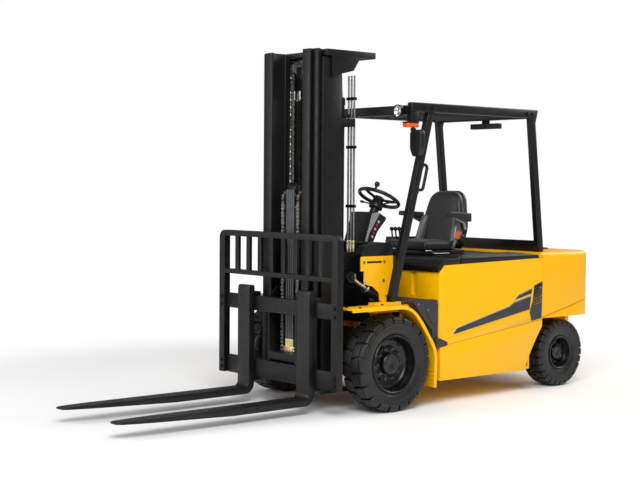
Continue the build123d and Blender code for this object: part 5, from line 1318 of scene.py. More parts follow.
    def free_hoses(self) -> None:
        """The band of hoses over the crosshead, with their end fittings."""
        radius = self.hose_pulley + self.hose_radius
        rows = [(index - (self.hoses - 1) / 2) * self.hose_pitch for index in range(self.hoses)]
        front, bends, rear, inside, ends = [], [], [], [], []
        for y in rows:
            front.append(self.hose_line(y, self.free_x + radius, self.chain_anchor, self.hose_radius))
            rear.append(self.hose_line(y, self.free_x - radius, self.chain_foot, self.hose_radius))
            inside.append(self.hose_line(y, self.free_x - radius, self.chain_foot, self.hose_radius - 0.8))
            section = [(radius + self.hose_radius * math.cos(turn), self.hose_radius * math.sin(turn))
                       for turn in (2 * math.pi * step / 16 for step in range(16))]
            bend = Bench.spun("bend", section, place(self.free_x, y, self.crosshead_z), Vector((0, -1, 0)),
                              20, math.pi)
            bends.append(bend)
            fitting = Bench.bar("ferrule", place(self.free_x + radius, y, self.manifold_top - 2),
                                place(self.free_x + radius, y, self.manifold_top + 56),
                                self.hose_radius + 1.5, 16)
            nut = Bench.bar("nut", place(self.free_x + radius, y, self.manifold_top - 2),
                            place(self.free_x + radius, y, self.manifold_top + 16), self.hose_radius + 2.5, 6)
            ends += [Bench.soften(fitting, 1.2, 2), Bench.soften(nut, 1.2, 2)]
        front_runs = Bench.shade(Bench.join("hose_front_runs", front))
        rear_runs = Bench.shade(Bench.join("hose_rear_runs", rear))
        tails = Bench.shade(Bench.join("hose_rear_tails", inside))
        dress(front_runs, HOSE_BRAID, "crosshead", "hose")
        dress(Bench.shade(Bench.join("hose_bends", bends)), HOSE_BRAID, "crosshead", "hose",
              "free_lift_hoses")
        dress(rear_runs, HOSE_BRAID, "crosshead", "hose")
        dress(tails, HOSE_BRAID, "inner_mast", "hose")
        x = self.free_x + radius
        port = self.chain_y - self.port_gap
        for half, spread, low, high in ((15, 52, 2, 44), (9, port, 7, 21), (9, port, 27, 41)):
            ends.append(Bench.soften(Bench.block("manifold", (x - half, x + half), (-spread, spread),
                                                 (self.chain_anchor + low, self.chain_anchor + high)), 2.5,
                                     2))
        dress(Bench.join("hose_end_fittings", ends), ZINC_YELLOW, "carriage", "chain_steel")
        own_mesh(front_runs)

    def main_chains(self) -> None:
        """The main lift chains over their pulleys at the middle mast's head."""
        top = self.main_z
        self.loops("main_chain", self.main_x, self.main_y, top, self.main_radius + self.chain_half,
                   (self.chain_foot, self.main_anchor), ("middle_mast", "outer_mast"), "main_chains")
        edge, groove = self.main_radius + 10, self.main_radius
        pulley = Bench.spun("pulley",
                            [(12, -15), (edge, -15), (edge, -12), (groove, -11), (groove, 11), (edge, 12),
                             (edge, 15), (12, 15)], place(self.main_x, self.main_y, top), LEFT, 40)
        pin = Bench.bar("pin", place(self.main_x, self.main_y - 17, top),
                        place(self.main_x, self.main_y + 17, top), 12, 24)
        pulleys = Bench.both_sides("main_chain_pulleys",
                                   Bench.soften(Bench.join("pulley", [pulley, pin]), 1.0, 2))
        dress(pulleys, BARE_STEEL, "middle_mast", "chain_steel")

    def pipes(self) -> None:
        """The hydraulic pipes behind the left outer rail, with their unions and clamps."""
        low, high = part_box("mast_pipes")
        x = ((low.x + high.x) / 2 - AXLE_X) / MM
        first, last = low.y / MM + 10, high.y / MM - 10
        lines, nuts, caps = [], [], []
        for index in range(3):
            y = first + index * (last - first) / 2
            lines.append(Bench.tube("pipe", [
                place(x, y, 1225), place(x, y, 1600), place(x, y, 2200), place(x, y, 2470)], 8.0))
            lines.append(Bench.soften(Bench.bar("stem", place(x, y, 1110), place(x, y, 1170), 9, 20), 1.0, 2))
            for level in (1228, 1180):
                nuts.append(Bench.soften(Bench.bar("nut", place(x, y, level - 15), place(x, y, level + 15),
                                                   11, 6), 1.4, 2))
            caps.append(Bench.soften(Bench.bar("cap", place(x, y, 1195), place(x, y, 1213), 9.5, 20), 1.2, 2))
        dress(Bench.join("mast_pressure_pipes", lines), BARE_STEEL, "outer_mast", "chain_steel", "mast_pipes")
        dress(Bench.join("pipe_union_nuts", nuts), ZINC_YELLOW, "outer_mast", "chain_steel")
        dress(Bench.join("pipe_union_collars", caps), KEY_PALE, "outer_mast", "chain_steel")
        clamps = [Bench.soften(Bench.block("clamp", (x - 13, x + 13), (first - 16, last + 16),
                                           (z - 11, z + 11)), 3.0, 2) for z in (1500, 1940, 2300)]
        dress(Bench.join("pipe_clamps", clamps), SATIN_BLACK, "outer_mast", "black_paint")

    def fasteners(self) -> None:
        """Hexagon bolts along the outer rails and on the axle brackets."""
        spots = ((150, 540), (150, 1095), (150, 2165), (60, 420), (60, 285), (-70, 420), (-70, 285))
        bolt_heads("outer_mast_bolts", [(x, self.half_width, z) for x, z in spots], LEFT, 12, SATIN_BLACK,
                   "outer_mast", "black_paint")


@dataclass
class ForkCarriage:
    """The carriage, the load backrest and the two forks."""

    face_x: float = 585.3
    length: float = 1580.0
    width: float = 146.0
    thickness: float = 50.0
    tip: float = 14.0
    bottom: float = 66.0
    shank_top: float = 893.0
    fork_y: float = 357.0
    hook_top: float = 842.3
    bar_rear: float = 495.0
    taper: float = 300.0

    def build(self) -> None:
        """Models the carriage, the backrest and the forks."""
        refined("carriage", "fork_carriage", 4.0, 3, SATIN_BLACK, "carriage", "black_paint")
        refined("load_backrest", "welded_backrest", 5.0, 3, SATIN_BLACK, "carriage", "black_paint")
        for side, sign in (("left", 1), ("right", -1)):
            self.fork(side, sign)
        self.bolts()

    def fork(self, side: str, sign: int) -> None:
        """One forged fork with a rounded heel, a tapered blade and its hooks.

        Args:
            side: Left or right.
            sign: 1 on the left and -1 on the right.
        """
        back = self.face_x - self.thickness
        top = self.bottom + self.thickness
        end = self.face_x + self.length
        outline = rounded([(back, self.shank_top), (self.face_x - 8, self.shank_top),
                           (self.face_x, self.shank_top - 30), (self.face_x, top), (end, top),
                           (end, top - self.tip), (self.face_x + 0.42 * self.length, self.bottom),
                           (back, self.bottom)], [6, 10, 40, 34, 5, 5, 300, 78], 8)
        y = sign * self.fork_y
        piece = Bench.plate("forged_fork_" + side, View.SIDE, outline, y - self.width / 2, y + self.width / 2)
        Bench.slices(piece, [end - step for step in (20, 45, 80, 120, 170, 230, self.taper)], AHEAD)
        for vertex in piece.data.vertices:
            reach = (vertex.co.x - place(end - self.taper, 0, 0).x) / (self.taper * MM)
            if reach > 0:
                share = 1 - 0.3 * reach ** 1.6 - 0.22 * max(0.0, reach - 0.86) / 0.14
                vertex.co.y = y * MM + (vertex.co.y - y * MM) * share
        Bench.soften(piece, 4.0, 3, 40)
        hooks = Bench.carbon("fork_" + side, "hooks")
        blade = Bench.block("blade", (back, end + 50), (y - 200, y + 200), (0, 1200))
        Bench.cut(hooks, blade)
        Bench.soften(hooks, 3.0, 2)
        latch = Bench.spun("latch",
                           [(ON_AXIS, 0), (11, 0), (11, 20), (15, 22), (15, 34), (11, 38), (ON_AXIS, 38)],
                           place(self.bar_rear + 20, y, self.hook_top), UP, 24)
        whole = Bench.join("forged_fork_" + side, [piece, hooks, Bench.soften(latch, 1.5, 2)])
        dress(whole, FORK_BLACK, "fork_" + side, "black_paint", "fork_" + side)

    def bolts(self) -> None:
        """The bolts that hold the backrest to the carriage's bars."""
        bolt_heads("backrest_bolts", [(560, 673, z) for z in (235, 285, 725, 785)], AHEAD, 13, SATIN_BLACK,
                   "carriage", "black_paint")


@dataclass
class TiltGear:
    """The two tilt cylinders between the frame and the mast."""

    eye: float = 72.0
    y: float = 405.0
    pin_x: float = -330.0
    pin_z: float = 700.0
    rise: tuple[float, float] = (0.8766, 0.4813)
    gland: float = 396.0
    port: float = 372.0

    def build(self) -> None:
        """Rounds the barrels, blackens the rods' eyes and polishes the rest of the rods."""
        for side in ("left", "right"):
            barrel = "tilt_barrel_" + side
            refined(barrel, "tilt_cylinder_" + side, 2.5, 2, SATIN_BLACK, barrel, "black_paint")
            self.fittings(side)
            neck = (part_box("tilt_rod_" + side)[1].x - AXLE_X) / MM - self.eye
            eye = Bench.carbon("tilt_rod_" + side, "tilt_rod_eye_" + side)
            Bench.cut(eye, Bench.block("behind", (neck - FAR, neck), ALL, ALL))
            dress(Bench.soften(eye, 2.0, 2), SATIN_BLACK, "tilt_rod_" + side, "black_paint")
            rod = Bench.carbon("tilt_rod_" + side, "tilt_ram_" + side)
            Bench.cut(rod, Bench.block("ahead", (neck, neck + FAR), ALL, ALL))
            dress(Bench.shade(rod), ROD_CHROME, "tilt_rod_" + side, "chrome", "tilt_rod_" + side)

    def fittings(self, side: str) -> None:
        """The gland nut at a barrel's end and the hose union on its back.

        Args:
            side: Left or right.
        """
        along = Vector((self.rise[0], 0, self.rise[1]))
        up = Vector((-self.rise[1], 0, self.rise[0]))
        foot = place(self.pin_x, self.y if side == "left" else -self.y, self.pin_z)
        nut = Bench.spun("gland", [(24, 0), (42, 0), (42, 11), (38, 15), (26, 15), (24, 12)],
                         foot + along * self.gland * MM, along, 40)
        dress(Bench.soften(nut, 1.0, 2), BARE_STEEL, "tilt_barrel_" + side, "chain_steel")
        seat = foot + along * self.port * MM + up * 38 * MM
        union = [Bench.soften(Bench.bar("union", seat + up * low * MM, seat + up * high * MM, size, sides),
                              1.2, 2) for low, high, size,
                 sides in ((0, 10, 12, 6), (10, 18, 8, 20), (18, 30, 11, 6))]
        dress(Bench.join("tilt_union_" + side, union), ZINC_YELLOW, "tilt_barrel_" + side, "chain_steel")


@dataclass
class Guard:
    """The overhead guard with its lamps, mirrors and handles."""

    top: float = 2283.0
    rail: float = 70.0
    middle_y: float = 528.0
    front_x: float = -296.0
    rear_x: float = -1737.0
    lamp_y: float = 447.0
    lamp_z: float = 2218.0
    lamp_radius: float = 47.0
    lamp_depth: float = 52.0
    mirror_top: float = 2105.0
    edge: float = 11.0

    def build(self) -> None:
        """Models the guard and everything on it."""
        for side in ("left", "right"):
            refined("guard_" + side, "guard_tube_" + side, self.edge, 4, GUARD_BLACK, "chassis",
                    "black_paint")
        for node, width in (("guard_roof", 3.0), ("lamp_gussets", 3.0), ("rear_panel", 5.0)):
            refined(node, "pressed_" + node, width, 3, GUARD_BLACK, "chassis", "black_paint")
        self.headlamps()
        self.signals()
        self.mirrors()
        self.rear_lamp()
        self.handles()
        spots = [(x, self.middle_y + 28, self.top - 35) for x in (-440, -520, -1600, -1660)]
        bolt_heads("guard_bolts", spots, LEFT, 9, GUARD_BLACK, "chassis", "black_paint")

    def headlamps(self) -> None:
        """Work lamps: a black bowl, a bright dish with its bulb, and a domed clear cover."""
        base = place(self.front_x, self.lamp_y, self.lamp_z)
        radius, depth = self.lamp_radius, self.lamp_depth
        bowl = Bench.spun("bowl",
                          [(ON_AXIS, 0), (0.6 * radius, 0), (radius - 3, 0.4 * depth),
                           (radius, 0.46 * depth), (radius, depth - 8), (radius + 1, depth - 6),
                           (radius + 1, depth), (radius - 4, depth + 1), (radius - 6, depth - 3),
                           (radius - 6, depth - 10), (0.5 * radius, 0.3 * depth), (ON_AXIS, 0.26 * depth)],
                          base, AHEAD, 48)
        dress_pair("lamp_bowls", [Bench.soften(bowl, 1.0, 2)], GUARD_BLACK, "chassis", "black_paint",
                   "headlamps")
        dish = Bench.spun("dish",
                          [(radius - 6.5, depth - 9), (radius - 12, depth - 18),
                           (0.55 * radius, depth - 27), (0.3 * radius, depth - 31),
                           (0.3 * radius, depth - 20), (0.2 * radius, depth - 15), (ON_AXIS, depth - 14),
                           (ON_AXIS, depth - 34), (0.58 * radius, depth - 32), (radius - 6.5, depth - 14)],
                          base, AHEAD, 48)
        dress_pair("lamp_reflectors", [Bench.shade(dish, 50)], LAMP_CHROME, "chassis", "lens")
        cover = Bench.spun("cover",
                           [(radius - 6.2, depth - 6), (radius - 6.2, depth - 3),
                            (0.7 * radius, depth + 2.2), (0.4 * radius, depth + 4.4), (ON_AXIS, depth + 5),
                            (ON_AXIS, depth + 2.4), (0.4 * radius, depth + 1.8),
                            (0.7 * radius, depth - 0.4)], base, AHEAD, 48)
        dress_pair("lamp_covers", [Bench.shade(cover, 50)], LENS_CLEAR, "chassis", "lens")

    def signals(self) -> None:
        """Amber turn signals on dark bases under the roof's front corners."""
        low, high = self.mirror_top, self.mirror_top + 30
        outline = rounded([(self.front_x - 68, 502), (self.front_x + 62, 502), (self.front_x + 62, 578),
                           (self.front_x - 68, 578)], 22, 6)
        inner = rounded([(self.front_x - 65, 505), (self.front_x + 59, 505), (self.front_x + 59, 575),
                         (self.front_x - 65, 575)], 20, 6)
        base = Bench.soften(Bench.plate("base", View.PLAN, outline, high - 9, high), 2.0, 2)
        dress_pair("signal_bases", [base], SATIN_BLACK, "chassis", "black_paint")
        lens = Bench.soften(Bench.plate("lens", View.PLAN, inner, low - 12, high - 9), 8.0, 3)
        dress_pair("signal_lenses", [lens], LENS_AMBER, "chassis", "amber", "turn_signals")

    def mirrors(self) -> None:
        """Mirror shells with their glass towards the driver, on bent arms."""
        low, high = self.mirror_top - 230, self.mirror_top - 30
        near, far = self.middle_y + 2, self.middle_y + 132
        outline = rounded([(near + 26, low), (far - 26, low), (far, low + 66), (far, high), (near, high),
                           (near, low + 66)], [26, 26, 60, 34, 34, 60], 8)
        shell = Bench.plate("shell", View.FRONT, outline, self.front_x - 45, self.front_x + 5)
        Bench.soften(shell, 16.0, 5)
        face = rounded([(near + 34, low + 14), (far - 34, low + 14), (far - 13, low + 70),
                        (far - 13, high - 13), (near + 13, high - 13), (near + 13, low + 70)],
                       [20, 20, 50, 26, 26, 50], 8)
        recess = Bench.plate("recess", View.FRONT, face, self.front_x - 50, self.front_x - 41)
        Bench.cut(shell, recess)
        arm = Bench.bar("arm", place(self.front_x - 20, self.middle_y + 20, self.mirror_top),
                        place(self.front_x - 20, self.middle_y + 20, high - 20), 9, 24)
        clamp = Bench.soften(Bench.block("clamp", (self.front_x - 36, self.front_x - 4),
                                         (self.middle_y + 4, self.middle_y + 38), (high - 8, high + 14)),
                             4.0, 3)
        shells = Bench.both_sides("mirror_shells", Bench.join("shell", [shell, Bench.shade(arm), clamp]))
        dress(shells, POD_PLASTIC, "chassis", "black_plastic", "mirrors")
        glass = Bench.plate("glass", View.FRONT, face, self.front_x - 43.5, self.front_x - 41)
        dress_pair("mirror_glasses", [Bench.soften(glass, 0.6, 1)], MIRROR_GLASS, "chassis", "lens")

    def rear_lamp(self) -> None:
        """The lamp bar under the roof's rear beam, red at its ends and clear in its middle."""
        under = self.top - self.rail
        refined("rear_lamp", "rear_lamp_bar", 5.0, 3, POD_PLASTIC, "chassis", "black_plastic")
        face = (self.rear_x - 2, self.rear_x + 6)
        heights = (under - 67, under - 31)
        red = Bench.soften(Bench.block("red", face, (64, 152), heights), 3.0, 3)
        dress_pair("tail_lenses", [red], LENS_RED, "chassis", "amber")
        clear = Bench.soften(Bench.block("reversing_lens", face, (-56, 56), heights), 3.0, 3)
        dress(clear, LENS_CLEAR, "chassis", "lens")

    def handles(self) -> None:
        """The grab handles behind the front pillars, with their foot pads."""
        piece = Bench.shade(Bench.carbon("grab_handles", "grab_rails"), 40)
        dress(piece, SATIN_BLACK, "chassis", "black_paint", "grab_handles")
        pads = []
        for z in (1625, 1815):
            x = -125 - 0.2674 * (z - 790) - 32
            pads.append(Bench.soften(Bench.block("pad", (x - 4, x + 3),
                                                 (self.middle_y - 19, self.middle_y + 19),
                                                 (z - 26, z + 26)), 2.0, 2))
        dress_pair("grab_rail_pads", pads, SATIN_BLACK, "chassis", "black_paint")


@dataclass
class Body:
    """The painted body: frame, side covers, counterweight, cowl, fenders, hood and steps."""

    flank: float = 665.0
    film: float = 0.8
    louvres: int = 7
    louvre_low: float = 698.0
    louvre_rise: float = 136.0
    wing_inner: float = 449.5
    wing_front: float = 118.0
    wing_step: float = 84.0
    step_z: float = 1022.0

    def build(self) -> None:
        """Models the body from below upwards."""
        for node, name, width, finish, slot in (
                ("chassis_frame", "welded_frame", 3.0, BODY_PAINT, "yellow_paint"),
                ("counterweight", "cast_counterweight", 7.0, CAST_PAINT, "cast_yellow"),
                ("fender_left", "bent_fender_left", 2.5, BODY_PAINT, "yellow_paint"),
                ("fender_right", "bent_fender_right", 2.5, BODY_PAINT, "yellow_paint"),
                ("front_deck", "moulded_deck", 8.0, HOOD_PLASTIC, "black_plastic"),
                ("floor_and_steps", "moulded_steps", 5.0, STEP_PLASTIC, "grey_plastic")):
            refined(node, name, width, 3, finish, "chassis", slot)
        coat_node("battery", BATTERY_CASE)
        self.covers()
        self.films()
        self.hood()
        self.cap()
        self.steps()
        self.cowl_plates()
        self.cowl()
        self.fender_bolts()

    def louvre_slots(self, start: float, end: float) -> Piece:
        """The row of slanting slots as one cutter.

        Args:
            start: Where the slots begin across the truck.
            end: Where they end.

        Returns:
            The cutter.
        """
        slots = []
        for index in range(self.louvres):
            low = self.louvre_low + index * self.louvre_rise / (self.louvres - 1)
            slots.append(Bench.plate("slot", View.SIDE,
                                     [(-1588, low), (-1672, low + 25), (-1672, low + 35),
                                      (-1588, low + 10)], start, end))
        return Bench.join("slots", slots)

    def covers(self) -> None:
        """The side covers, creased along their length."""
        for side, sign in (("left", 1), ("right", -1)):
            piece = Bench.carbon("side_panel_" + side, "side_cover_" + side)
            crease = Bench.plate("crease", View.SIDE,
                                 [(-560, 490), (-1690, 686), (-1690, 692), (-560, 496)],
                                 sign * (self.flank - 3), sign * (self.flank + 3))
            Bench.cut(piece, crease)
            Bench.soften(piece, 3.5, 3)
            dress(piece, BODY_PAINT, "chassis", "yellow_paint", "side_panel_" + side)

    def films(self) -> None:
        """The charcoal sweep with its bright edges, and the dark surround of the louvres."""
        near, far = self.flank - 0.5, self.flank + self.film
        sweep = rounded([(-644, 521), (-693, 566), (-1291, 701), (-1335, 727), (-1547, 772), (-1531, 667)],
                        [6, 30, 60, 60, 4, 4], 6)
        wedge = [(-1351, 751), (-1399, 785), (-1558, 831), (-1553, 794)]
        panel = Bench.plate("grille", View.SIDE,
                            [(-1583, 859), (-1684, 888), (-1677, 588), (-1558, 571), (-1531, 643),
                             (-1567, 732)], near, far + 1.2)
        Bench.cut(panel, self.louvre_slots(near - 20, far + 20))
        dark = [Bench.plate("sweep", View.SIDE, sweep, near, far),
                Bench.plate("wedge", View.SIDE, wedge, near, far), panel]
        dress_pair("flank_films", dark, FILM_CHARCOAL, "chassis", "grey_plastic")
        edges = [[(-640, 521), (-689, 572), (-1288, 709), (-1333, 736), (-1549, 782), (-1547, 772),
                  (-1335, 727), (-1291, 701), (-693, 566), (-646, 522)],
                 [(-1345, 751), (-1396, 793), (-1560, 840), (-1558, 831), (-1399, 785), (-1351, 751)]]
        bright = [Bench.plate("edge", View.SIDE, points, near, far + 0.4) for points in edges]
        dress_pair("flank_film_edges", bright, TRIM_SILVER, "chassis", "grey_plastic")
        fins = []
        for index in range(self.louvres + 1):
            low = self.louvre_low + (index - 0.62) * self.louvre_rise / (self.louvres - 1)
            fins.append(Bench.plate("fin", View.SIDE,
                                    [(-1586, low), (-1674, low + 26), (-1674, low + 31), (-1586, low + 5)],
                                    self.flank - 34, self.flank - 4))
        dress_pair("louvre_fins", fins, STEP_PLASTIC, "chassis", "grey_plastic")

    def hood(self) -> None:
        """The hood with raised pads along its sides and a recessed latch."""
        refined("hood", "moulded_hood", 5.0, 3, HOOD_PLASTIC, "hood", "black_plastic")
        outline = rounded([(-770, 330), (-770, 615), (-1630, 615), (-1630, 330)], 40, 8)
        pad = Bench.soften(Bench.plate("pad", View.PLAN, outline, 1094, 1109), 9.0, 4)
        inner = rounded([(-810, 370), (-810, 575), (-1590, 575), (-1590, 370)], 30, 8)
        crown = Bench.soften(Bench.plate("crown", View.PLAN, inner, 1104, 1116), 7.0, 4)
        dress_pair("hood_side_pads", [pad, crown], HOOD_PLASTIC, "hood", "black_plastic")
        latch = Bench.soften(Bench.block("hood_latch", (-746, -736), (300, 372), (1066, 1090)), 4.0, 3)
        dress(latch, BARE_STEEL, "hood", "chain_steel")

    def cap(self) -> None:
        """The black filler cap on the counterweight and the tow pin behind it."""
        outline = rounded([(-2090, -260), (-2090, 260), (-2262, 260), (-2262, -260)], 50, 8)
        lid = Bench.soften(Bench.plate("counterweight_lid", View.PLAN, outline, 1112, 1132), 6.0, 3)
        dress(lid, HOOD_PLASTIC, "chassis", "black_plastic")
        pin = Bench.spun("tow_pin",
                         [(ON_AXIS, 0), (14, 0), (16, 4), (16, 186), (30, 188), (30, 196), (14, 200),
                          (14, 224), (26, 230), (26, 242), (20, 248), (ON_AXIS, 248)], place(-2377, 0, 412),
                         UP, 32)
        dress(Bench.soften(pin, 1.5, 2), SATIN_BLACK, "chassis", "black_paint")

    def steps(self) -> None:
        """Details of the moulded step panels: a raised oval, screw heads and the tread ribs."""
        oval = rounded([(-488, 560), (-392, 690), (-372, 760), (-486, 760)], [40, 44, 26, 30], 8)
        raised = Bench.soften(Bench.plate("oval", View.SIDE, oval, 634, 646), 5.0, 3)
        ribs = [Bench.soften(Bench.block("rib", (-500, -270), (568 + 14 * index, 575 + 14 * index),
                                         (788, 794)), 2.0, 2) for index in range(5)]
        dress_pair("step_mouldings", [raised, *ribs], STEP_PLASTIC, "chassis", "grey_plastic")
        spots = [(x, 640, z) for x, z in ((-397, 722), (-500, 772), (-498, 470), (-300, 770))]
        bolt_heads("step_screws", spots, LEFT, 7, BARE_STEEL, "chassis", "chain_steel")
        tongue = Bench.plate("tongue", View.SIDE,
                             rounded([(-470, 428), (-470, 500), (-512, 500), (-589, 470), (-589, 446),
                                      (-562, 438)], [4, 4, 10, 8, 8, 8], 4), 640, 669)
        dress_pair("step_tongues", [Bench.soften(tongue, 3.0, 3)], STEP_PLASTIC, "chassis", "grey_plastic")

    def cowl_plates(self) -> None:
        """The yellow wings and, between them, the bulkhead behind the mast, drawn black all over: black in
        its upper part, and painted shade in its lower part, which is yellow.
        """
        inner = self.wing_inner
        plates = Bench.carbon("front_cowl", "cowl_plates")
        Bench.cut(plates, Bench.block("middle", ALL, (-inner, inner), ALL),
                  Bench.block("edge", (self.wing_front, FAR), ALL, ALL),
                  Bench.block("step", (self.wing_step, FAR), ALL, (-FAR, self.step_z)))
        dress(Bench.soften(plates, 3.0, 3), BODY_PAINT, "chassis", "yellow_paint", "front_cowl")
        # Black all over: below the black upper part, the black is painted shade over yellow plate.
        middle = Bench.carbon("front_cowl", "pressed_bulkhead")
        Bench.cut(middle, Bench.block("wing", ALL, (inner, FAR), ALL),
                  Bench.block("wing", ALL, (-FAR, -inner), ALL))
        dress(Bench.soften(middle, 2.0, 2), SATIN_BLACK, "chassis", "black_paint")

    def cowl(self) -> None:
        """The cowl's bolts, and black strips laid on its face as painted shade in place of its slots."""
        # A black strip stands proud of the face as painted shade for each slot's opening.
        slot = Bench.soften(Bench.block("slot", (-86, 60), (461, 464), (1080, 1094)), 1.2, 2)
        dress_pair("cowl_slot_painted_shade", [slot], SATIN_BLACK, "chassis", "black_paint")
        spots = [(x, 462, z) for x, z in ((-112, 1087), (88, 1087), (-106, 946), (-140, 826))]
        bolt_heads("cowl_bolts", spots, LEFT, 9, BARE_STEEL, "chassis", "chain_steel")

    def fender_bolts(self) -> None:
        """Screw heads on the fenders and the ribs of their mud flaps."""
        spots = [(x, y, 779) for x, y in ((380, 600), (330, 690), (40, 610))]
        bolt_heads("fender_screws", spots, UP, 9, SATIN_BLACK, "chassis", "black_paint")
        ribs = [Bench.soften(Bench.block("rib", (-412, -390), (566, 733), (z, z + 7)), 2.0, 2)
                for z in (176, 208, 240, 272)]
        dress_pair("mud_flap_ribs", ribs, BODY_PAINT, "chassis", "yellow_paint")


@dataclass
class Cab:
    """The driver's place: instrument pod, steering wheel, console, levers and seat."""

    wheel_x: float = -480.0
    wheel_z: float = 1557.0
    wheel_radius: float = 164.0
    wheel_tilt: float = 27.0
    knob_turn: float = 58.0
    pod_half: float = 120.0
    seat_front: float = -752.0
    seat_rear: float = -1128.0
    seat_low: float = 1140.0
    seat_high: float = 1230.0
    seat_half: float = 245.0
    back_top: float = 1614.0
    back_lean: float = 0.17
    back_depth: float = 105.0
    seam: float = 158.0
    seam_level: float = 1416.0
    seam_half: float = 4.0
    bolster: Span = (1188.0, 1420.0)
    voxel: float = 6.0
    pressure: float = 4.0
    frames: int = 20
    swell: float = 24.0

    def build(self) -> None:
        """Models the driver's place."""
        self.pod()
        self.steering()
        self.console()
        self.seat()

    def pod(self) -> None:
        """The cowl top and instrument pod with trim, display and keys."""
        refined("dashboard", "moulded_dash", 9.0, 4, POD_PLASTIC, "chassis", "black_plastic")
        side = self.pod_half
        band = [(-208, 1172), (-221, 1214), (-275, 1366), (-297, 1441), (-354, 1446), (-374, 1436),
                (-322, 1360), (-268, 1286), (-238, 1180)]
        swoosh = rounded(band, [4, 20, 60, 14, 8, 6, 70, 70, 4], 6)
        trim = Bench.soften(Bench.plate("trim", View.SIDE, swoosh, side - 2, side + 3.5), 1.5, 2)
        dress_pair("pod_trims", [trim], TRIM_SILVER, "chassis", "grey_plastic")
        screen = Bench.plate("screen", View.SIDE, [(-371, 1443), (-445, 1405), (-444, 1410), (-371, 1447)],
                             -78, 78)
        dress(Bench.soften(screen, 0.8, 2), SCREEN_GLASS, "chassis", "lens")
        keys = []
        for row in range(2):
            for column in range(4):
                x, z = -449 + 18 * row, 1392 - 19 * row
                y = -54 + 36 * column
                keys.append(Bench.soften(Bench.block("key", (x - 9, x + 5), (y - 12, y + 12),
                                                     (z - 9, z + 5)), 2.5, 2))
        pale, red = [(-300, 1258), (-330, 1316), (-366, 1372)], [(-314, 1287), (-347, 1345)]
        keys += [self.side_key(x, z) for x, z in pale]
        dress(Bench.join("pod_keys", keys), KEY_PALE, "chassis", "grey_plastic")
        dress(Bench.join("pod_red_keys", [self.side_key(x, z) for x, z in red]), KNOB_RED, "chassis",
              "grey_plastic")

    def side_key(self, x: float, z: float) -> Piece:
        """A small key on the pod's left side.

        Args:
            x: Its middle along the truck.
            z: Its middle height.

        Returns:
            The key.
        """
        return Bench.soften(Bench.block("key", (x - 8, x + 8), (self.pod_half - 3, self.pod_half + 6),
                                        (z - 10, z + 10)), 2.5, 2)

    def steering(self) -> None:
        """The steering wheel with two broad spokes, boss and spinner knob, and the column's stalks."""
        lean = math.radians(self.wheel_tilt)
        axis = Vector((-math.sin(lean), 0, math.cos(lean)))
        ahead = Vector((math.cos(lean), 0, math.sin(lean)))
        middle = place(self.wheel_x, 0, self.wheel_z)
        side = LEFT
        ring = Bench.spun("ring", [(self.wheel_radius + 14 * math.cos(turn), 15 * math.sin(turn)) for turn in
                                   (2 * math.pi * step / 20 for step in range(20))], middle, axis, 72)
        boss = Bench.spun("boss",
                          [(ON_AXIS, -28), (36, -28), (44, -18), (46, -4), (40, 7), (26, 11),
                           (ON_AXIS, 12)], middle, axis, 48)
        pieces = [Bench.shade(ring), Bench.soften(boss, 2.0, 2)]
        for turn in (math.radians(205), math.radians(335), math.radians(90)):
            way = side * math.cos(turn) + ahead * math.sin(turn)
            start, end = middle + way * 0.03 - axis * 0.012, middle + way * self.wheel_radius * MM
            bend = middle + way * 0.6 * self.wheel_radius * MM - axis * 0.014
            for offset in (-9, 0, 9):
                across = way.cross(axis) * offset * MM
                pieces.append(Bench.tube("spoke", [start + across, bend + across, end + across * 0.8], 8))
        turn = math.radians(self.knob_turn)
        way = side * math.cos(turn) + ahead * math.sin(turn)
        seat = middle + way * self.wheel_radius * MM
        knob = Bench.spun("knob",
                          [(ON_AXIS, 4), (9, 4), (9, 30), (15, 34), (21, 46), (21, 58), (16, 68), (8, 72),
                           (ON_AXIS, 73)], seat, axis, 32)
        pieces.append(Bench.shade(knob, 45))
        dress(Bench.join("rimmed_steering_wheel", pieces), POD_PLASTIC, "steering_wheel", "black_plastic",
              "steering_wheel")
        hub = middle - axis * 0.062
        shroud = Bench.spun("shroud", [(30, -0.001), (52, 0), (56, 8), (54, 34), (46, 62), (30, 64)],
                            hub - axis * 0.03, axis, 40)
        stalks = [Bench.tube("stalk",
                             [hub, hub + side * 0.09 * sign + axis * 0.012,
                              hub + side * 0.19 * sign + axis * 0.03], 6) for sign in (-1, 1)]
        grips = [Bench.soften(Bench.bar("grip", hub + side * 0.165 * sign + axis * 0.024,
                                        hub + side * 0.2 * sign + axis * 0.031, 10, 20), 3.0, 3)
                 for sign in (-1, 1)]
        whole = Bench.join("column_shroud",
                           [Bench.soften(shroud, 3.0, 2), *[Bench.shade(stalk) for stalk in stalks], *grips])
        dress(whole, POD_PLASTIC, "chassis", "black_plastic")

    def console(self) -> None:
        """The lever console with its knobs."""
        refined("lever_console", "moulded_console", 4.0, 3, POD_PLASTIC, "hood", "black_plastic")
        outer = -self.seat_half - 150
        for index in range(4):
            spot = place(-965 - 26 * index, outer + 30 + 18 * index, 1278)
            knob = Bench.spun("lever_knob_%d" % index, [
                (ON_AXIS, 0), (9, 0), (15, 8), (17, 18), (14, 29), (7, 34), (ON_AXIS, 35)], spot, UP, 28)
            dress(Bench.shade(knob, 50), KNOB_RED if index == 3 else POD_PLASTIC, "hood", "black_plastic")

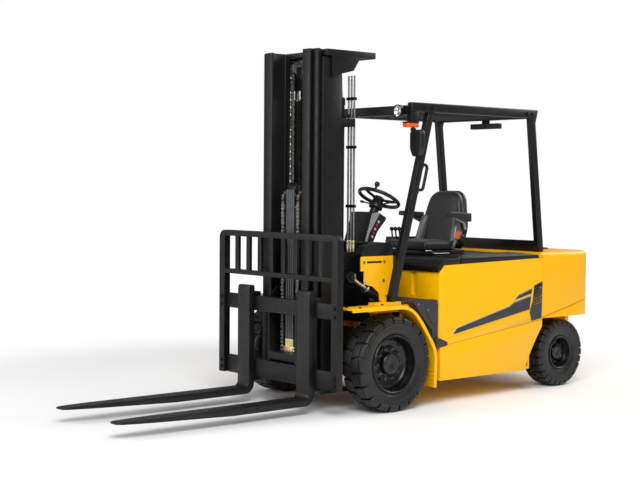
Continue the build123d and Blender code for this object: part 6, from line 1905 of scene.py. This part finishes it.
    def swollen(self, piece: Piece, held: Callable[[Vector], bool]) -> Piece:
        """Swells a closed pad as cloth under pressure, held at its seams and its foot.

        Args:
            piece: The pad, drawn a little small.
            held: Says whether a point is sewn down.

        Returns:
            The same pad, crowned.
        """
        Bench.only(piece)
        remesh = piece.modifiers.new("remesh", "REMESH")
        remesh.mode = "VOXEL"
        remesh.voxel_size = self.voxel * MM
        bpy.ops.object.modifier_apply(modifier=remesh.name)
        sewn = piece.vertex_groups.new(name="sewn")
        sewn.add([vertex.index for vertex in piece.data.vertices if held(vertex.co)], 1.0, "REPLACE")
        flat = [vertex.co.copy() for vertex in piece.data.vertices]
        cloth = piece.modifiers.new("cloth", "CLOTH")
        cloth.settings.use_pressure = True
        cloth.settings.uniform_pressure_force = self.pressure
        cloth.settings.effector_weights.gravity = 0
        cloth.settings.vertex_group_mass = sewn.name
        cloth.point_cache.frame_start = 1
        cloth.point_cache.frame_end = self.frames
        for step in range(1, self.frames + 1):
            bpy.context.scene.frame_set(step)
        bpy.ops.object.modifier_apply(modifier=cloth.name)
        bpy.context.scene.frame_set(1)
        for vertex, start in zip(piece.data.vertices, flat):
            move = vertex.co - start
            if move.length > self.swell * MM:
                vertex.co = start + move.normalized() * self.swell * MM
        smooth = piece.modifiers.new("smooth", "SUBSURF")
        smooth.levels = 1
        Bench.only(piece)
        bpy.ops.object.modifier_apply(modifier=smooth.name)
        return Bench.shade(piece, 70)

    def seat(self) -> None:
        """The seat: a plinth, a sewn cushion, the back and the fittings."""
        refined("seat_base", "seat_plinth", 6.0, 3, POD_PLASTIC, "hood", "black_plastic")
        half, seam = self.seat_half - 12, self.seam
        cushion = Bench.soften(Bench.block("seat_cushion_pad", (self.seat_rear + 6, self.seat_front - 12),
                                           (-half, half), (self.seat_low + 6, self.seat_high - 16)), 26.0, 5)
        foot = self.seat_low + 22

        def held_cushion(point: Vector) -> bool:
            across = abs(abs(point.y) / MM - seam)
            along = abs((point.x - AXLE_X) / MM - (self.seat_front - 118))
            flat = point.z > place(0, 0, self.seat_high - 40).z
            return point.z < foot * MM or (flat and min(across, along) < self.seam_half)

        pad = self.swollen(cushion, held_cushion)
        dress(pad, SEAT_VINYL, "hood", "vinyl", "seat_cushion")
        self.back()
        self.fittings()

    def back(self) -> None:
        """The seat's back: a sewn pad between two bolsters, in a moulded shell."""
        half, seam = self.seat_half - 14, self.seam
        lean = self.back_lean
        low, high = self.seat_low + 24, self.back_top
        outline = self.back_outline(half, low, high)
        pad = Bench.plate("seat_back_pad", View.FRONT, outline, self.seat_rear - self.back_depth + 26,
                          self.seat_rear - 14)
        Bench.soften(pad, 22.0, 5)
        for vertex in pad.data.vertices:
            vertex.co.x -= lean * (vertex.co.z - low * MM)
        rear = self.seat_rear - self.back_depth + 44

        def held_back(point: Vector) -> bool:
            across = abs(abs(point.y) / MM - seam)
            level = abs(point.z / MM - self.seam_level)
            x = (point.x - AXLE_X) / MM + lean * (point.z / MM - low)
            return x < rear or (x > self.seat_rear - 34 and min(across, level) < self.seam_half)

        soft = self.swollen(pad, held_back)
        dress(soft, SEAT_VINYL, "hood", "vinyl", "seat_back")
        shell = Bench.plate("seat_back_shell", View.FRONT, self.back_outline(half + 6, low - 20, high + 4),
                            self.seat_rear - self.back_depth, self.seat_rear - self.back_depth + 34)
        Bench.soften(shell, 10.0, 4)
        for vertex in shell.data.vertices:
            vertex.co.x -= lean * (vertex.co.z - low * MM)
        dress(shell, POD_PLASTIC, "hood", "black_plastic")
        foot, head = self.bolster
        bolster = Bench.block("bolster", (self.seat_rear - 66, self.seat_rear + 40), (166, 236), self.bolster)
        Bench.soften(bolster, 32.0, 6)
        for vertex in bolster.data.vertices:
            share = max(0.0, vertex.co.z / MM - foot) / (head - foot)
            vertex.co.x -= (34 * share ** 2 + 34 * share) * MM
            vertex.co.y -= 26 * share ** 2 * MM
        rolls = Bench.both_sides("seat_back_bolsters", Bench.shade(bolster, 60))
        # The bolsters' grey colour is a painted highlight, not the vinyl's own colour.
        dress(rolls, BOLSTER_PAINTED_HIGHLIGHT, "hood", "vinyl")

    @staticmethod
    def back_outline(half: float, low: float, high: float) -> list[Point]:
        """The back's outline, broad at the hips and narrower at the shoulders.

        Args:
            half: Half its greatest width.
            low: Its lower edge.
            high: Its top.

        Returns:
            The rounded outline.
        """
        hip, shoulder, waist = 0.9 * half, 0.68 * half, low + 0.38 * (high - low)
        return rounded([(-hip, low), (hip, low), (half, waist), (shoulder, high), (-shoulder, high),
                        (-half, waist)], [40, 40, 150, 118, 118, 150], 8)

    def fittings(self) -> None:
        """The armrests on their brackets, the slide lever and the belt with its buckle."""
        arm = Bench.soften(Bench.carbon("armrest", "padded_armrest"), 14.0, 5)
        twin = Bench.mirrored(arm, "padded_armrest_right")
        dress(arm, SEAT_VINYL, "hood", "vinyl", "armrest")
        dress(twin, SEAT_VINYL, "hood", "vinyl")
        bracket = Bench.plate("bracket", View.SIDE,
                              rounded([(-1100, 1398), (-1210, 1370), (-1222, 1300), (-1196, 1300),
                                       (-1180, 1352), (-1098, 1384)], 6, 4), 246, 254)
        brackets = Bench.both_sides("armrest_brackets", Bench.soften(bracket, 2.0, 2))
        dress(brackets, BARE_STEEL, "hood", "chain_steel")
        lever = Bench.tube("slide_lever", [place(*spot) for spot in (
            (-1010, 258, 1116), (-900, 258, 1116), (-836, 258, 1117), (-818, 260, 1128), (-804, 262, 1140),
            (-770, 264, 1142), (-738, 266, 1142))], 6)
        dress(Bench.shade(lever), BARE_STEEL, "hood", "chain_steel")
        stalk = Bench.plate("belt_stalk", View.SIDE, rounded([
            (-1044, 1150), (-1072, 1146), (-1118, 1236), (-1090, 1246)], 6, 4), 250, 256)
        dress(Bench.soften(stalk, 1.5, 2), BARE_STEEL, "hood", "chain_steel")
        buckle = Bench.plate("belt_buckle", View.SIDE, rounded([
            (-1074, 1232), (-1112, 1222), (-1152, 1276), (-1116, 1296)], 9, 4), 246, 268)
        dress(Bench.soften(buckle, 5.0, 3), BELT_ORANGE, "hood", "vinyl")
        reel = Bench.spun("belt_reel", [(ON_AXIS, 0), (30, 0), (34, 5), (34, 20), (28, 26), (ON_AXIS, 26)],
                          place(-1160, 244, 1226), LEFT, 32)
        dress(Bench.soften(reel, 1.5, 2), POD_PLASTIC, "hood", "black_plastic")


@dataclass
class Axles:
    """The drive axle, the steer axle and its knuckles."""

    def build(self) -> None:
        """Rounds the castings' edges."""
        for node, body in (("drive_axle", "chassis"), ("steer_axle", "chassis"),
                           ("knuckle_left", "knuckle_left"), ("knuckle_right", "knuckle_right")):
            refined(node, "cast_" + node, 3.0, 2, SATIN_BLACK, body, "black_paint")


@dataclass
class Studio:
    """The pale floor, the soft lights and the camera at the photograph's angle."""

    camera_at: tuple[float, float, float] = (6562.6, 7630.6, 1653.1)
    azimuth: float = 139.8587
    elevation: float = 2.3859
    roll: float = 0.4305
    focal_px: float = 1309.61
    frame_px: float = 640.0
    sensor: float = 36.0
    backdrop: str = "#FFFFFF"
    fade_from: float = 2.6
    fade_to: float = 4.6
    ambient: float = 0.29

    def build(self) -> None:
        """Sets the camera, the floor, the world and the lamps."""
        self.camera()
        self.floor()
        self.world()
        self.lamps()
        bpy.context.scene.view_settings.view_transform = "Standard"

    def camera(self) -> None:
        """Stands the camera where the photograph was taken."""
        turn, rise, lean = (math.radians(value) for value in (self.azimuth, self.elevation, self.roll))
        back = Vector((math.sin(turn) * math.cos(rise), -math.cos(turn) * math.cos(rise), math.sin(rise)))
        right = Vector((math.cos(turn), math.sin(turn), 0))
        up = back.cross(right)
        tilted_right = right * math.cos(lean) + up * math.sin(lean)
        tilted_up = up * math.cos(lean) - right * math.sin(lean)
        Bench.clear()
        bpy.ops.object.camera_add()
        camera = bpy.context.object
        axes = Matrix((tilted_right, tilted_up, back)).transposed().to_4x4()
        camera.matrix_world = Matrix.Translation(place(*self.camera_at)) @ axes
        camera.data.sensor_fit = "HORIZONTAL"
        camera.data.sensor_width = self.sensor
        camera.data.lens = self.focal_px * self.sensor / self.frame_px
        bpy.context.scene.camera = camera

    def floor(self) -> None:
        """Lays the pale floor, white to the camera where nothing shades it."""
        Bench.clear()
        bpy.ops.mesh.primitive_plane_add(size=60, location=(0, 0, 0))
        floor = bpy.context.object
        floor.name = "studio_floor"
        material = bpy.data.materials.new("studio_floor")
        material.use_nodes = True
        tree = material.node_tree
        tree.nodes.clear()
        shade = add_node(tree, "ShaderNodeBsdfDiffuse", {"Color": linear("#F4F4F4")})
        white = add_node(tree, "ShaderNodeEmission", {"Color": linear(self.backdrop), "Strength": 1.0})
        spot = add_node(tree, "ShaderNodeTexCoord")
        away = add_node(tree, "ShaderNodeVectorMath", {0: spot.outputs["Object"]}, operation="LENGTH")
        fade = add_node(tree, "ShaderNodeMapRange", {
            "Value": away.outputs["Value"], "From Min": self.fade_from, "From Max": self.fade_to},
            interpolation_type="SMOOTHSTEP")
        rays = add_node(tree, "ShaderNodeLightPath")
        share = add_node(tree, "ShaderNodeMath", {
            0: fade.outputs["Result"], 1: rays.outputs["Is Camera Ray"]}, operation="MULTIPLY")
        shader = add_node(tree, "ShaderNodeMixShader", {
            0: share.outputs["Value"], 1: shade.outputs["BSDF"], 2: white.outputs["Emission"]})
        add_node(tree, "ShaderNodeOutputMaterial", {"Surface": shader.outputs["Shader"]})
        floor.data.materials.append(material)

    def world(self) -> None:
        """A white backdrop to the camera and through glass, and a softer light on the truck."""
        world = bpy.data.worlds.new("studio_world")
        bpy.context.scene.world = world
        world.use_nodes = True
        tree = world.node_tree
        tree.nodes.clear()
        rays = add_node(tree, "ShaderNodeLightPath")
        seen = add_node(tree, "ShaderNodeMath", {
            0: rays.outputs["Is Camera Ray"], 1: rays.outputs["Is Transmission Ray"]}, operation="MAXIMUM")
        strength = add_node(tree, "ShaderNodeMapRange", {
            "Value": seen.outputs["Value"], "To Min": self.ambient, "To Max": 1.0})
        light = add_node(tree, "ShaderNodeBackground", {
            "Color": linear(self.backdrop), "Strength": strength.outputs["Result"]})
        add_node(tree, "ShaderNodeOutputWorld", {"Surface": light.outputs["Background"]})

    def lamps(self) -> None:
        """Hangs three large soft boxes."""
        for name, spot, size, power in (
                ("key_box", (5.0, 5.5, 6.5), 5.0, 700.0), ("fill_box", (7.0, -3.0, 3.5), 5.0, 240.0),
                ("rear_box", (-6.0, 1.0, 5.0), 5.0, 300.0)):
            Bench.clear()
            bpy.ops.object.light_add(type="AREA", location=spot)
            lamp = bpy.context.object
            lamp.name = name
            lamp.data.shape = "SQUARE"
            lamp.data.size = size
            lamp.data.energy = power
            aim = Vector((-0.3, 0, 1.0)) - Vector(spot)
            lamp.rotation_euler = aim.to_track_quat("-Z", "Y").to_euler()


FRONT_WHEEL = WheelKind(Tread(outer=351.0, width=222.0, rim=205.0, lugs=20, groove=20.0, share=0.83,
                              slant=0.12, ribs=(24.0, 48.0)), hub=80.0, hub_out=58.0, disc_in=-2.0, nuts=10,
                        nut_circle=112.0, nut=17.0)
REAR_WHEEL = WheelKind(Tread(outer=278.0, width=200.0, rim=126.0, lugs=26, groove=16.0, share=0.81,
                             slant=0.14, ribs=(22.0, 44.0)), hub=58.0, hub_out=52.0, disc_in=-2.0, nuts=8,
                       nut_circle=84.0, nut=13.0)


def main() -> None:
    """Builds every sub-assembly in order and sets up the studio."""
    logging.basicConfig(level=logging.INFO, format="%(message)s")
    for part in (Wheels(FRONT_WHEEL, REAR_WHEEL), Axles(), Mast(), ForkCarriage(), TiltGear(), Guard(),
                 Body(), Cab(), Studio()):
        LOG.info("building %s", type(part).__name__)
        part.build()


if __name__ == "__main__":
    main()
